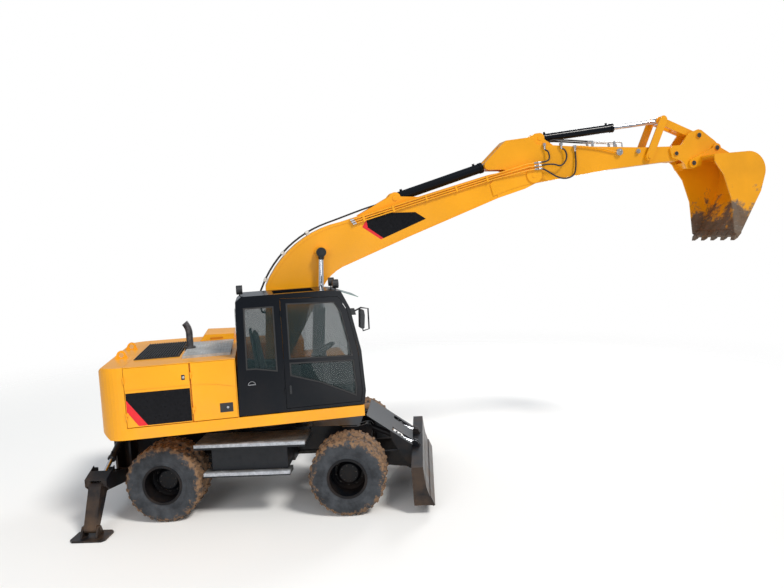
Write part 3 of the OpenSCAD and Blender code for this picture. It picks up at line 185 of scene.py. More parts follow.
class Finish:
    """A material whose pattern reads the piece's Object coordinates."""

    def __init__(self, name, rough=0.5, metal=0.0, **sockets):
        self.mat = bpy.data.materials.new(name)
        self.mat.use_nodes = True
        self.tree = self.mat.node_tree
        self.shader = next(n for n in self.tree.nodes if n.type == "BSDF_PRINCIPLED").inputs
        for key, value in {"Roughness": rough, "Metallic": metal, **sockets}.items():
            self.shader[key.replace("_", " ")].default_value = value
        self.where = node(self.tree, "ShaderNodeTexCoord", {}, "Object")

    def noise(self, scale, detail=4.0, rough=0.55, stretch=None):
        where = self.where
        if stretch:
            where = node(self.tree, "ShaderNodeMapping", {"Vector": where, "Scale": stretch})
        given = {"Vector": where, "Scale": scale, "Detail": detail, "Roughness": rough}
        return node(self.tree, "ShaderNodeTexNoise", given, "Fac")

    def ramp(self, fac, low, high, bottom=0.0, top=1.0):
        given = {"Value": fac, "From Min": low, "From Max": high, "To Min": bottom, "To Max": top}
        return node(self.tree, "ShaderNodeMapRange", given, "Result")

    def sums(self, kind, a, b=0.0):
        return arith(self.tree, kind, a, b)

    def axis(self, name):
        return node(self.tree, "ShaderNodeSeparateXYZ", {"Vector": self.where}, name)

    def mix(self, fac, a, b):
        a, b = ((*c, 1.0) if isinstance(c, tuple) else c for c in (a, b))
        return node(self.tree, "ShaderNodeMix", {"Factor": fac, 6: a, 7: b}, 2, data_type="RGBA")

    def wire(self, **sockets):
        for key, value in sockets.items():
            self.tree.links.new(value, self.shader[key.replace("_", " ")])

    def bump(self, height, strength=0.3, distance=0.002):
        """Raises the surface by height, and gives the finished material."""
        given = {"Height": height, "Strength": strength, "Distance": distance}
        self.wire(Normal=node(self.tree, "ShaderNodeBump", given))
        return self.mat


def body_paint(name, base, low, high, most, rough=0.34, gloss=0.4):
    """Paint with worn specks, under dust that thickens towards the ground and in patches."""
    f = Finish(name, rough, Coat_Weight=0.12, Coat_Roughness=0.1, Specular_IOR_Level=gloss)
    tone = f.mix(f.ramp(f.noise(1.3, 3.0), 0.35, 0.65), shade(base, 0.86), base)
    specks = f.ramp(f.noise(38.0, 6.0, 0.7), 0.60, 0.80, 0.0, 0.35)
    paint = f.mix(specks, tone, shade(base, 0.55, 0.02))
    height = f.ramp(f.axis("Z"), low, high, most, 0.0)
    dust = f.sums("MULTIPLY", height, f.ramp(f.noise(2.6, 8.0, 0.62), 0.40, 0.66))
    f.wire(Base_Color=f.mix(dust, paint, tuple(settings().paint.mud)),
           Roughness=f.ramp(dust, 0.0, 1.0, rough, 0.85))
    return f.bump(f.noise(240.0, 3.0), 0.05, 0.0006)


def muddy_bucket(base):
    """Paint that the soil has worn down to bare steel, and soil low on the bowl."""
    mud = tuple(settings().paint.mud)
    f = Finish("bucket_paint", 0.4, Specular_IOR_Level=0.45)
    depth = f.ramp(f.axis("Z"), 3.5, 4.75, 0.26, -0.34)
    worn = f.ramp(f.sums("ADD", f.noise(3.4, 9.0, 0.66), depth), 0.50, 0.60)
    scratched = f.ramp(f.noise(9.0, 5.0, 0.6, (1.0, 1.0, 6.0)), 0.62, 0.68)
    metal = f.mix(scratched, (0.16, 0.12, 0.09), (0.34, 0.30, 0.26))
    soil = f.mix(f.ramp(f.noise(14.0, 6.0, 0.7), 0.3, 0.7), mud, shade(mud, 0.5))
    bare = f.mix(f.ramp(f.noise(2.2, 7.0, 0.6), 0.42, 0.58), metal, soil)
    paint = f.mix(f.ramp(f.noise(1.7), 0.3, 0.7), shade(base, 0.84), base)
    f.wire(Base_Color=f.mix(worn, paint, bare), Roughness=f.ramp(worn, 0.0, 1.0, 0.4, 0.88))
    return f.bump(f.sums("MULTIPLY", worn, f.noise(26.0, 8.0, 0.7)), 0.7, 0.008)


def tyre_rubber():
    """Rubber with soil caked on the tread and its grooves, and only dust on the side walls."""
    mud = tuple(settings().paint.mud)
    f = Finish("tyre_rubber", 0.82, Specular_IOR_Level=0.35)
    reach = node(f.tree, "ShaderNodeAttribute", {}, "Fac", attribute_name="reach")
    soil = f.mix(f.ramp(f.noise(22.0, 6.0, 0.7), 0.3, 0.7), shade(mud, 1.35), shade(mud, 0.75))
    caked = f.sums("ADD", f.noise(13.0, 8.0, 0.68), f.ramp(reach, 0.40, 0.53, -0.22, 0.10))
    patch = f.ramp(caked, 0.44, 0.56, 0.0, 0.92)
    grain = f.ramp(f.noise(6.0, 6.0, 0.6), 0.35, 0.7)
    f.wire(Base_Color=f.mix(patch, f.mix(grain, (0.020, 0.022, 0.026), (0.055, 0.060, 0.068)), soil))
    return f.bump(f.sums("ADD", f.noise(55.0, 7.0, 0.7), f.sums("MULTIPLY", patch, 0.8)), 0.5, 0.004)


def polished_rod():
    f = Finish("chrome_rod", 0.16, 1.0)
    f.wire(Base_Color=f.mix(f.ramp(f.noise(30.0, 3.0), 0.3, 0.7), (0.62, 0.63, 0.66), (0.82, 0.83, 0.86)))
    return f.bump(f.noise(160.0, 2.0, 0.5, (1.0, 1.0, 14.0)), 0.05, 0.0005)


def boom_rod(black):
    """Chrome rod with a black painted eye."""
    f = Finish("boom_rod", 0.16)
    away = [f.sums("SUBTRACT", f.axis("X"), BOOM_ROD_EYE.x), f.sums("SUBTRACT", f.axis("Z"), BOOM_ROD_EYE.z)]
    reach = f.sums("SQRT", f.sums("ADD", *[f.sums("MULTIPLY", d, d) for d in away]))
    shaft = f.sums("GREATER_THAN", reach, ROD_EYE_REACH)
    f.wire(Base_Color=f.mix(shaft, black, (0.78, 0.79, 0.82)), Metallic=shaft,
           Roughness=f.ramp(shaft, 0.0, 1.0, 0.42, 0.14))
    return f.bump(f.noise(120.0, 2.0), 0.05, 0.0005)


def plain(name, low, high, scale, rough, metal=0.0, bump=0.2, distance=0.001, **sockets):
    """A colour that wanders between two tones, with a roughness that wanders too."""
    f = Finish(name, rough, metal, **sockets)
    dull = f.ramp(f.noise(scale * 0.6, 4.0), 0.3, 0.7, rough * 0.85, min(1.0, rough * 1.2))
    f.wire(Base_Color=f.mix(f.ramp(f.noise(scale, 5.0, 0.6), 0.32, 0.68), low, high), Roughness=dull)
    return f.bump(f.noise(scale * 2.3, 4.0), bump, distance)


def window_glass():
    """Dark tinted panes, and the greener sun visor over the screen."""
    f = Finish("window_glass", 0.02, Specular_IOR_Level=0.45)
    ahead, above = f.sums("GREATER_THAN", f.axis("X"), 1.075), f.sums("GREATER_THAN", f.axis("Z"), 2.922)
    visor = f.sums("MULTIPLY", ahead, above)
    tint = f.mix(f.ramp(f.noise(0.9, 2.0), 0.3, 0.7), (0.012, 0.026, 0.028), (0.020, 0.040, 0.042))
    f.wire(Base_Color=f.mix(visor, tint, (0.010, 0.150, 0.085)), Alpha=f.ramp(visor, 0.0, 1.0, 0.38, 0.80),
           Roughness=f.ramp(f.noise(1.8, 3.0), 0.4, 0.8, 0.02, 0.06))
    return f.mat


def step_treads():
    """Black boxes under galvanised treads; painted shade darkens the treads, tinted brown, except along their
    outer edges, which keep their bright galvanised colour.
    """
    f = Finish("step_treads", 0.5, 0.2)
    across = f.sums("ADD", f.sums("MULTIPLY", f.axis("X"), math.sin(UNDER_TURN)),
                    f.sums("MULTIPLY", f.axis("Y"), math.cos(UNDER_TURN)))
    z = f.axis("Z")
    lower = f.sums("MULTIPLY", f.sums("GREATER_THAN", z, 0.608), f.sums("LESS_THAN", z, 0.655))
    tread = f.sums("MAXIMUM", f.sums("GREATER_THAN", z, 1.008), lower)
    # Painted shade: only the treads' outer edges stay lit, and inward of them the treads are painted dark as
    # if shaded by the structure above
    ragged = f.ramp(f.noise(7.0, 5.0, 0.6), 0.0, 1.0, -0.08, 0.08)
    edge = f.ramp(f.sums("ADD", f.sums("ABSOLUTE", across), ragged), 1.10, 1.20)
    bright = f.mix(f.ramp(f.noise(24.0, 5.0, 0.6), 0.35, 0.7), (0.30, 0.32, 0.35), (0.52, 0.54, 0.57))
    # The painted shade on the treads: dark grey tinted brown
    painted_tread_shade = f.mix(f.ramp(f.noise(5.0, 6.0, 0.6), 0.4, 0.7), (0.05, 0.052, 0.055), (0.13, 0.11, 0.09))
    f.wire(Base_Color=f.mix(tread, tuple(settings().paint.black), f.mix(edge, painted_tread_shade, bright)),
           Roughness=f.ramp(f.noise(14.0, 4.0), 0.3, 0.7, 0.38, 0.62))
    return f.bump(f.noise(60.0, 4.0), 0.2, 0.001)


def seat_cloth():
    f = Finish("seat_cloth", 0.92, Sheen_Weight=0.25)
    weave = node(f.tree, "ShaderNodeTexWave", {"Vector": f.where, "Scale": 150.0, "Distortion": 1.2}, "Fac")
    f.wire(Base_Color=f.mix(f.ramp(weave, 0.2, 0.8), (0.022, 0.022, 0.025), (0.055, 0.056, 0.062)))
    return f.bump(weave, 0.35, 0.0008)


# Material, its two tones, scale of the grain, roughness, metal, bump and the bump's height
PLAIN = {
    "step": ("step_plate", (0.34, 0.34, 0.33), (0.50, 0.51, 0.51), 9.0, 0.5, 0.35, 0.2),
    "steel": ("line_steel", (0.42, 0.42, 0.43), (0.66, 0.67, 0.69), 30.0, 0.32, 0.85, 0.1),
    "cast": ("cast_steel", (0.035, 0.032, 0.03), (0.09, 0.08, 0.072), 18.0, 0.62, 0.4, 0.4, 0.002),
    "plastic": ("black_plastic", (0.010, 0.011, 0.013), (0.024, 0.025, 0.028), 70.0, 0.48, 0.0, 0.25),
    "rubber": ("hose_rubber", (0.008, 0.008, 0.009), (0.022, 0.021, 0.021), 90.0, 0.55, 0.0, 0.3),
    "trim": ("cab_trim", (0.03, 0.031, 0.034), (0.062, 0.062, 0.066), 60.0, 0.7, 0.0, 0.3),
    "exhaust": ("exhaust_steel", (0.04, 0.042, 0.05), (0.13, 0.12, 0.12), 16.0, 0.5, 0.7, 0.3),
    "clamp": ("clamp_grey", (0.52, 0.52, 0.50), (0.74, 0.74, 0.71), 24.0, 0.45, 0.1, 0.2),
    "lens": ("lamp_lens", (0.52, 0.55, 0.56), (0.78, 0.80, 0.80), 40.0, 0.08, 0.6, 0.3),
    "mirror": ("mirror_face", (0.78, 0.80, 0.82), (0.86, 0.87, 0.88), 3.0, 0.03, 1.0, 0.0),
}


def finishes():
    """Every finish of the machine, made once."""
    p = settings().paint
    body, black, stripe = tuple(p.body), tuple(p.black), tuple(p.stripe)
    return {
        "body": body_paint("body_paint", body, 1.25, 2.3, 0.22),
        "arm": body_paint("arm_paint", body, 3.6, 5.4, 0.10),
        "black": body_paint("black_paint", black, 1.2, 2.4, 0.03, 0.22, 0.12),
        "rim": body_paint("rim_paint", shade(black, 0.7), 0.0, 1.1, 0.14, 0.4, 0.15),
        "under": body_paint("under_paint", black, 0.0, 1.1, 0.42, 0.34, 0.2),
        "bucket": muddy_bucket(body),
        "tyre": tyre_rubber(),
        "chrome": polished_rod(),
        "boom_rod": boom_rod(black),
        "tread": step_treads(),
        "panel": plain("black_panel", (0.003, 0.003, 0.004), (0.007, 0.007, 0.009), 30.0, 0.3, 0.0, 0.08,
                       Specular_IOR_Level=0.15),
        "stripe": plain("red_stripe", shade(stripe, 0.85), stripe, 20.0, 0.32, 0.0, 0.08),
        "glass": window_glass(),
        "cloth": seat_cloth(),
        **{key: plain(*row) for key, row in PLAIN.items()},
    }


FINISH = {}
NODE_FINISH = {
    "body": ["deck", "counterweight", "housing", "door_engine", "door_service", "door_left"],
    "arm": ["boom", "stick", "link", "rocker", "coupler"],
    "black": ["cab_shell", "cab_door", "stick_barrel", "bucket_barrel", "boom_barrels"],
    "under": ["chassis", "axle_front", "axle_rear", "dozer_blade", "leg_right", "leg_left", "knuckle_right",
              "knuckle_left", "blade_barrels", "leg_barrel_right", "leg_barrel_left", "pad_right",
              "pad_left"],
    "rim": ["rim_front_right", "rim_front_left", "rim_rear_right", "rim_rear_left"],
    "bucket": ["bucket"],
    "chrome": ["blade_rods", "leg_rod_right", "leg_rod_left", "stick_rod", "bucket_rod"],
    "boom_rod": ["boom_rods"],
    "tread": ["steps"],
    "step": ["walkway"],
    "cast": ["driveline", "swing_ring", "engine"],
    "plastic": ["hood_grille", "cab_fittings"],
    "trim": ["cab_interior"],
    "exhaust": ["exhaust"],
    "glass": ["cab_glass", "door_glass"],
}


def finish(name):
    if not FINISH:
        FINISH.update(finishes())
    return FINISH[name]


def placed(name, data):
    """A new object of this data, linked to the scene."""
    obj = bpy.data.objects.new(name, data)
    bpy.context.scene.collection.objects.link(obj)
    return obj


def keep(source, name, body, look, replaces=(), sharp=38.0, ride=True):
    """Makes a piece of a bmesh that is already in place, and hands it to the frame."""
    bmesh.ops.recalc_face_normals(source, faces=source.faces)
    mesh = bpy.data.meshes.new(name)
    source.to_mesh(mesh)
    source.free()
    mesh.polygons.foreach_set("use_smooth", [True] * len(mesh.polygons))
    mesh.set_sharp_from_angle(angle=math.radians(sharp))
    mesh.materials.clear()
    mesh.materials.append(finish(look))
    obj = placed(name, mesh)
    if replaces:
        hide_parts(*replaces)
    if ride:
        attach(obj, body)
    return obj



def eased(points, times=1):
    """An open line with its corners cut, as the model's source cuts them."""
    for _ in range(times):
        out = [points[0]]
        for i in range(1, len(points) - 1):
            out += [points[i].lerp(points[i - 1], 0.25), points[i].lerp(points[i + 1], 0.25)]
        points = out + [points[-1]]
    return points


def flat(pairs, y=0.0):
    """Points of the side view, at one y."""
    return [Vector((x, y, z)) for x, z in pairs]


def oblong(x0, z0, x1, z1):
    return [(x0, z0), (x1, z0), (x1, z1), (x0, z1)]


def axes(x, y, z):
    """The turn that takes the three axes to these directions."""
    return Matrix((x, y, z)).transposed().to_4x4()


def way(a, b):
    return (b - a).normalized()


def walls(bm, a, b):
    """The faces between two rings of as many corners."""
    n = len(a)
    return [bm.faces.new((a[i], a[(i + 1) % n], b[(i + 1) % n], b[i])) for i in range(n)]


def hull_of(bm, low, top):
    """A closed body between a lower and an upper outline."""
    low, top = [bm.verts.new(p) for p in low], [bm.verts.new(p) for p in top]
    bm.faces.new(list(reversed(low)))
    bm.faces.new(top)
    walls(bm, low, top)
    return top


def sweep(bm, points, radius, place, sides=20, radii=None):
    """A round tube along points, which place puts in the machine's frame."""
    points = [place @ Vector(p) for p in points]
    last = len(points) - 1
    ways = [way(points[max(i - 1, 0)], points[min(i + 1, last)]) for i in range(last + 1)]
    turns = [2 * math.pi * k / sides for k in range(sides)]
    up = ways[0].orthogonal().normalized()
    rings = []
    for i, (p, ahead) in enumerate(zip(points, ways)):
        up = (up - ahead * up.dot(ahead)).normalized()
        side = ahead.cross(up)
        r = radii[i] if radii else radius
        rings.append([bm.verts.new(p + r * (math.cos(a) * up + math.sin(a) * side)) for a in turns])
    for a, b in zip(rings, rings[1:]):
        walls(bm, a, b)
    bm.faces.new(rings[0])
    bm.faces.new(list(reversed(rings[-1])))


def fitting(bm, at, ahead, stations, radii, place, sides=6):
    """A turned fitting that starts at one point and has these radii at stations ahead of it."""
    sweep(bm, [at + ahead * s for s in stations], 0.0, place, sides, radii)


def slab(bm, points, low, high, place=Matrix(), chamfer=0.0):
    """A flat side-view outline given thickness from y = low to y = high."""
    near, far = ([bm.verts.new(place @ p) for p in flat(points, y)] for y in (low, high))
    faces = [bm.faces.new(near), bm.faces.new(list(reversed(far)))] + walls(bm, far, near)
    if chamfer:
        edges = list({e for f in faces for e in f.edges})
        bmesh.ops.bevel(bm, geom=edges, offset=chamfer, segments=2, affect="EDGES", clamp_overlap=True)


def lathe(bm, profile, place, steps=96, closed=False):
    """A profile of (radius, height) turned about the local Z axis."""
    turns = [2 * math.pi * k / steps for k in range(steps)]
    rings = []
    for r, h in profile:
        spots = [(r * math.cos(a), r * math.sin(a), h) for a in turns] if r > 0 else [(0, 0, h)]
        rings.append([bm.verts.new(place @ Vector(p)) for p in spots])
    for a, b in list(zip(rings, rings[1:])) + ([(rings[-1], rings[0])] if closed else []):
        for k in range(steps):
            m = (k + 1) % steps
            corners = dict.fromkeys((a[k % len(a)], a[m % len(a)], b[m % len(b)], b[k % len(b)]))
            if len(corners) > 2:
                bm.faces.new(list(corners))


def new_tree(name, sockets):
    tree = bpy.data.node_groups.new(name, "GeometryNodeTree")
    for label, kind in {"Piece": "Object", **sockets, "Finish": "Material"}.items():
        tree.interface.new_socket(name=label, in_out="INPUT", socket_type="NodeSocket" + kind)
    tree.interface.new_socket(name="Geometry", in_out="OUTPUT", socket_type="NodeSocketGeometry")
    return tree, tree.nodes.new("NodeGroupInput").outputs


def close_tree(tree, points, given, turn, whole=None):
    """Sets the piece on each point, turned, and gives all copies as one finished mesh."""
    piece = node(tree, "GeometryNodeObjectInfo", {"Object": given["Piece"]}, "Geometry")
    given_to = {"Points": points, "Instance": piece, "Rotation": turn}
    copies = node(tree, "GeometryNodeInstanceOnPoints", given_to)
    if whole:
        copies = node(tree, "GeometryNodeTransform", {"Geometry": copies, **whole})
    real = node(tree, "GeometryNodeRealizeInstances", {0: copies})
    paint = node(tree, "GeometryNodeSetMaterial", {"Geometry": real, "Material": given["Finish"]})
    tree.links.new(paint, tree.nodes.new("NodeGroupOutput").inputs["Geometry"])
    return tree


def on_z(tree, value):
    return node(tree, "ShaderNodeCombineXYZ", {"Z": value})


def ring_tree():
    """Copies of one piece round the Z axis, each turned to face outwards."""
    tree, given = new_tree("ring_of_pieces", {
        "Count": "Int", "Radius": "Float", "Start": "Float", "Height": "Float"})
    sizes = {"Vertices": given["Count"], "Radius": given["Radius"]}
    circle = node(tree, "GeometryNodeMeshCircle", sizes, "Mesh")
    step = arith(tree, "DIVIDE", 2 * math.pi, given["Count"])
    turn = arith(tree, "MULTIPLY", node(tree, "GeometryNodeInputIndex", {}), step)
    whole = {"Rotation": on_z(tree, given["Start"]), "Translation": on_z(tree, given["Height"])}
    return close_tree(tree, circle, given, on_z(tree, turn), whole)


def grid_tree():
    """Copies of one piece on a flat grid, each second one turned the other way."""
    tree, given = new_tree("grid_of_pieces", {"Length": "Float", "Width": "Float", "Pitch": "Float"})
    sizes = {}
    for size, axis in (("Length", "X"), ("Width", "Y")):
        cells = arith(tree, "FLOOR", arith(tree, "DIVIDE", given[size], given["Pitch"]))
        sizes.update({"Size " + axis: given[size], "Vertices " + axis: arith(tree, "ADD", cells, 1.0)})
    grid = node(tree, "GeometryNodeMeshGrid", sizes, "Mesh")
    place = node(tree, "GeometryNodeInputPosition", {})
    cell = []
    for axis in ("X", "Y"):
        part = node(tree, "ShaderNodeSeparateXYZ", {0: place}, axis)
        cell.append(arith(tree, "ROUND", arith(tree, "DIVIDE", part, given["Pitch"])))
    odd = arith(tree, "FLOORED_MODULO", arith(tree, "ADD", *cell), 2.0)
    turn = arith(tree, "ADD", arith(tree, "MULTIPLY", odd, math.pi / 2), math.pi / 4)
    return close_tree(tree, grid, given, on_z(tree, turn))


def seen_mesh(obj):
    """The plain mesh that an object's modifiers make."""
    bpy.context.view_layer.update()
    return bpy.data.meshes.new_from_object(obj.evaluated_get(bpy.context.evaluated_depsgraph_get()))


def grown(bm, place, tree, look, **values):
    """Adds to a bmesh what a tree makes with these inputs, moved by place."""
    holder = placed("holder", bpy.data.meshes.new("holder"))
    mod = holder.modifiers.new("tree", "NODES")
    mod.node_group = tree
    names = {s.name: s.identifier for s in tree.interface.items_tree if s.in_out == "INPUT"}
    for key, value in {**values, "Finish": finish(look)}.items():
        mod[names[key]] = value
    mesh = seen_mesh(holder)
    bpy.data.objects.remove(holder)
    mesh.transform(place)
    bm.from_mesh(mesh)
    bpy.data.meshes.remove(mesh)


def pattern_piece(bm, name):
    """A small mesh that a tree copies; it is taken away once the copies are made."""
    bmesh.ops.recalc_face_normals(bm, faces=bm.faces)
    mesh = bpy.data.meshes.new(name)
    bm.to_mesh(mesh)
    bm.free()
    return placed(name, mesh)


def drop(*objects):
    for o in objects:
        bpy.data.objects.remove(o)


WHEELS = ["front_right", "front_left", "rear_right", "rear_left"]


def pair_width():
    return 2 * settings().tyre.width + settings().tyre.gap


def wheel_frame(wheel):
    """The wheel's own frame: its axis is local Z and points outwards, from the pair's inner face."""
    low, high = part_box("tyre_" + wheel)
    outward = UNDER.to_3x3() @ Vector((0.0, -1.0 if wheel.endswith("right") else 1.0, 0.0))
    up = Vector((0, 0, 1))
    turn = axes(up.cross(outward), up, outward)
    if turn.determinant() < 0:
        turn = axes(-up.cross(outward), up, outward)
    return Matrix.Translation((low + high) / 2 - outward * pair_width() / 2) @ turn


class EXCAVATOR_OT_finish_nodes(bpy.types.Operator):
    """Gives every CAD node that stays in view its finish"""
    bl_idname = "excavator.finish_nodes"
    bl_label = "Finish the CAD nodes"

    def execute(self, context):
        for look, names in NODE_FINISH.items():
            for name in names:
                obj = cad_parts[name]
                if not obj.data.materials:
                    obj.data.materials.append(None)
                for slot in obj.material_slots:
                    slot.material = finish(look)
        return {"FINISHED"}


# Radii of a tyre: over its lugs, at its bead, and where the lugs start on the shoulder
CROWN_OUT, BEAD_R, SHOULDER_R = 0.530, 0.2545, 0.478
# The side wall's profile, as radius and height over the tyre's face, with its rim guard and ring
TYRE_WALL = [(BEAD_R, 0.0165), (0.268, 0.010), (0.275, 0.0115), (0.283, 0.0085), (0.335, 0.0035),
             (0.3352, 0.0055), (0.341, 0.0052), (0.3412, 0.003), (0.398, 0.0012), (0.440, 0.0035),
             (SHOULDER_R, 0.0095), (0.498, 0.022)]
# One lug: wide at its foot, from the shoulder to past the middle of the tread
LUG_FOOT = [(-0.025, 0.006), (0.025, 0.006), (0.030, 0.075), (0.024, 0.128), (-0.006, 0.132), (-0.018, 0.080)]
LUG_HEAD = [(-0.017, 0.041), (0.017, 0.041), (0.024, 0.078), (0.018, 0.122), (-0.003, 0.125), (-0.012, 0.080)]
LUG_SINK = 0.004


class EXCAVATOR_OT_make_tyres(bpy.types.Operator):
    """Turns the twin tyres and sets their lugs round both shoulders"""
    bl_idname = "excavator.make_tyres"
    bl_label = "Make the tyres"

    def execute(self, context):
        t = settings().tyre
        tree = ring_tree()
        carcass = CROWN_OUT - t.depth
        half = TYRE_WALL + [(carcass, 0.046), (carcass + 0.002, t.width / 2)]
        profile = half + [(r, t.width - y) for r, y in reversed(half[:-1])]
        depths = [SHOULDER_R - LUG_SINK] * 2 + [carcass - LUG_SINK] * 4
        bm = bmesh.new()
        top = hull_of(bm, [(r, x, y + 0.006) for (x, y), r in zip(LUG_FOOT, depths)],
                      [(math.sqrt((CROWN_OUT - HAIR) ** 2 - x * x), x, y + 0.003) for x, y in LUG_HEAD])
        bmesh.ops.bevel(bm, geom=[e for f in bm.faces if all(v in top for v in f.verts) for e in f.edges],
                        offset=0.003, segments=1, affect="EDGES")
        lug = pattern_piece(bm, "one_lug")
        flip_over = Matrix.Translation((0, 0, t.width)) @ Matrix.Rotation(math.pi, 4, "X")
        for wheel in WHEELS:
            place = wheel_frame(wheel)
            bm = bmesh.new()
            for k in range(2):
                base = place @ Matrix.Translation((0, 0, k * (t.width + t.gap)))
                lathe(bm, profile, base, 120, closed=True)
                for turned, start in ((Matrix(), 0.0), (flip_over, math.pi / t.lugs)):
                    grown(bm, base @ turned, tree, "tyre", Piece=lug, Count=t.lugs, Radius=0.0001,
                          Start=start + 0.4 * k, Height=0.0)
            tyres = keep(bm, "tyres_" + wheel, "wheel_" + wheel, "tyre", ["tyre_" + wheel],
                         sharp=30.0)
            axle, hub = place.to_3x3() @ Vector((0, 0, 1)), place.translation
            reach = tyres.data.attributes.new("reach", "FLOAT", "POINT")
            out = [(v.co - hub) - axle * (v.co - hub).dot(axle) for v in tyres.data.vertices]
            reach.data.foreach_set("value", [v.length for v in out])
        drop(lug)
        return {"FINISHED"}


# Where the rim's disc and the hub's cover stand, and profiles of a wheel nut and a cover bolt
DISC_SHARE, DISC_T, COVER_RISE = 0.42, 0.022, 0.092
NUT = [(0.0, 0.024), (0.008, 0.024), (0.0085, 0.016), (0.0145, 0.016), (0.0160, 0.013), (0.0160, 0.0025),
       (0.021, 0.002), (0.021, -0.001), (0.0, -0.001)]
BOLT = [(0.0, 0.008), (0.007, 0.008), (0.009, 0.006), (0.009, -0.001), (0.0, -0.001)]


class EXCAVATOR_OT_make_wheel_nuts(bpy.types.Operator):
    """Sets the nuts of each hub and the bolts of its cover"""
    bl_idname = "excavator.make_wheel_nuts"
    bl_label = "Make the wheel nuts"

    def execute(self, context):
        tree = ring_tree()
        pieces = []
        for name, profile in (("one_nut", NUT), ("one_bolt", BOLT)):
            bm = bmesh.new()
            lathe(bm, profile, Matrix(), 6)
            pieces.append(pattern_piece(bm, name))
        nut, bolt = pieces
        disc = pair_width() * DISC_SHARE + DISC_T
        for wheel in WHEELS:
            bm = bmesh.new()
            for piece, count, radius, height in (
                    (nut, 10, 0.186, disc), (bolt, 8, 0.108, disc + COVER_RISE)):
                grown(bm, wheel_frame(wheel), tree, "cast",
                      Piece=piece, Count=count, Radius=radius, Start=0.2, Height=height)
            keep(bm, "wheel_nuts_" + wheel, "wheel_" + wheel, "cast", sharp=30.0)
        drop(*pieces)
        return {"FINISHED"}


# Treads as x0, y0, x1, y1 and height on one side of the undercarriage, and the walkway's fields
TREADS = ((-0.760, 0.640, 0.765, 1.200, 1.050), (-0.650, 0.960, 0.540, 1.200, 0.650))
WALKWAY = ((-1.090, -0.900, -0.955, -0.290), (-0.955, -0.900, -0.450, 0.415), (-1.090, -0.100, -0.955, 0.415))


class EXCAVATOR_OT_make_studs(bpy.types.Operator):
    """Covers the steps and the roof walkway with raised studs"""
    bl_idname = "excavator.make_studs"
    bl_label = "Make the studs of the step plates"

    def execute(self, context):
        p = settings().plate
        tree = grid_tree()
        long, wide = p.stud / 2, p.stud / 6
        outlines = []
        for x, y, z in ((long, wide, -0.0005), (long * 0.6, wide * 0.5, 0.0022)):
            outlines.append([(-x, 0, z), (0, -y, z), (x, 0, z), (0, y, z)])
        bm = bmesh.new()
        hull_of(bm, *outlines)
        stud = pattern_piece(bm, "one_stud")

        def field(bm, x0, y0, x1, y1, z, place):
            grown(bm, place @ Matrix.Translation(((x0 + x1) / 2, (y0 + y1) / 2, z)), tree, "step", Piece=stud,
                  Length=x1 - x0 - p.pitch, Width=y1 - y0 - p.pitch, Pitch=p.pitch)

        bm = bmesh.new()
        for s in (-1, 1):
            for x0, y0, x1, y1, z in TREADS:
                field(bm, x0, min(s * y0, s * y1), x1, max(s * y0, s * y1), z, UNDER)
        keep(bm, "step_studs", "undercarriage", "tread", sharp=25.0)
        bm = bmesh.new()
        for x0, y0, x1, y1 in WALKWAY:
            field(bm, x0, y0, x1, y1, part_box("walkway")[1].z, Matrix())
        keep(bm, "walkway_studs", "upper", "step", sharp=25.0)
        drop(stud)
        return {"FINISHED"}


# Hoses past the elbow, in the stick's frame: their planes, where they start, and their corners
ELBOW_Y = 0.240
ELBOW_END_Y = 0.166
ELBOW_RISE = (0.178, 0.130, 0.080)
ELBOW_START = 0.067
ELBOW_LOOPS = (
    ((0.290, 0.178), (0.300, 0.340), (0.252, 0.366), (0.252, 0.430)),
    ((0.330, 0.130), (0.480, 0.060), (0.610, 0.190), (0.592, 0.330), (0.541, 0.348), (0.541, 0.400)),
    ((0.150, 0.080), (0.440, -0.140), (0.690, -0.120), (0.752, 0.060), (0.772, 0.250), (0.772, 0.330)),
)
# Stations of a ferrule, their radii as shares of the hose's, and the most that fits beside the next
FERRULE = ((0.0, 1.15), (0.004, 1.25), (0.005, 1.42), (0.022, 1.42), (0.023, 1.2), (0.052, 1.2),
           (0.055, 1.08))
FERRULE_MOST = 0.0178


def loop_course(i):
    """The course of a hose past the elbow, as the model's source sets it."""
    course = eased(flat([(ELBOW_START + 0.006, ELBOW_RISE[i]), *ELBOW_LOOPS[i]]), 2)
    for k, p in enumerate(course):
        p.y = -ELBOW_Y + (ELBOW_Y - ELBOW_END_Y) * min(1.0, max(0, k - 1) / (len(course) - 5))
    return course


class EXCAVATOR_OT_make_elbow_hoses(bpy.types.Operator):
    """Lays the three hoses past the elbow, with their ferrules at both ends"""
    bl_idname = "excavator.make_elbow_hoses"
    bl_label = "Make the hoses past the elbow"

    def execute(self, context):
        r = settings().hose.radius
        for i in range(3):
            course = eased(loop_course(i), 1)
            bm = bmesh.new()
            sweep(bm, course, r, STICK, 20)
            hose = keep(bm, f"elbow_hose_{i + 1}", "stick", "rubber", ["elbow_hoses"], ride=False)
            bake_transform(hose)
            for body, at, inner in (("boom", course[0], course[1]), ("stick", course[-1], course[-2])):
                bm = bmesh.new()
                fitting(bm, at, way(at, inner), [s + 0.0005 for s, _ in FERRULE],
                        [min(r * k, FERRULE_MOST) for _, k in FERRULE], STICK, 24)
                keep(bm, f"ferrule_{body}_{i + 1}", body, "steel", sharp=25.0)
        return {"FINISHED"}


# The boom's crown, in the boom's frame: its middle, radius, first and last angle, and count of flats
CROWN = Vector((1.500, 0, -0.270))
CROWN_R, CROWN_A, CROWN_END, CROWN_N = 1.610, 122.0, 66.0, 10
EDGE_LINE = ((2.250, 1.170), (3.230, 0.850), (4.020, 0.585), (4.480, 0.430))
BOOM_HALF = 0.190
HOSE_R, TUBE_R = 0.0128, 0.0108
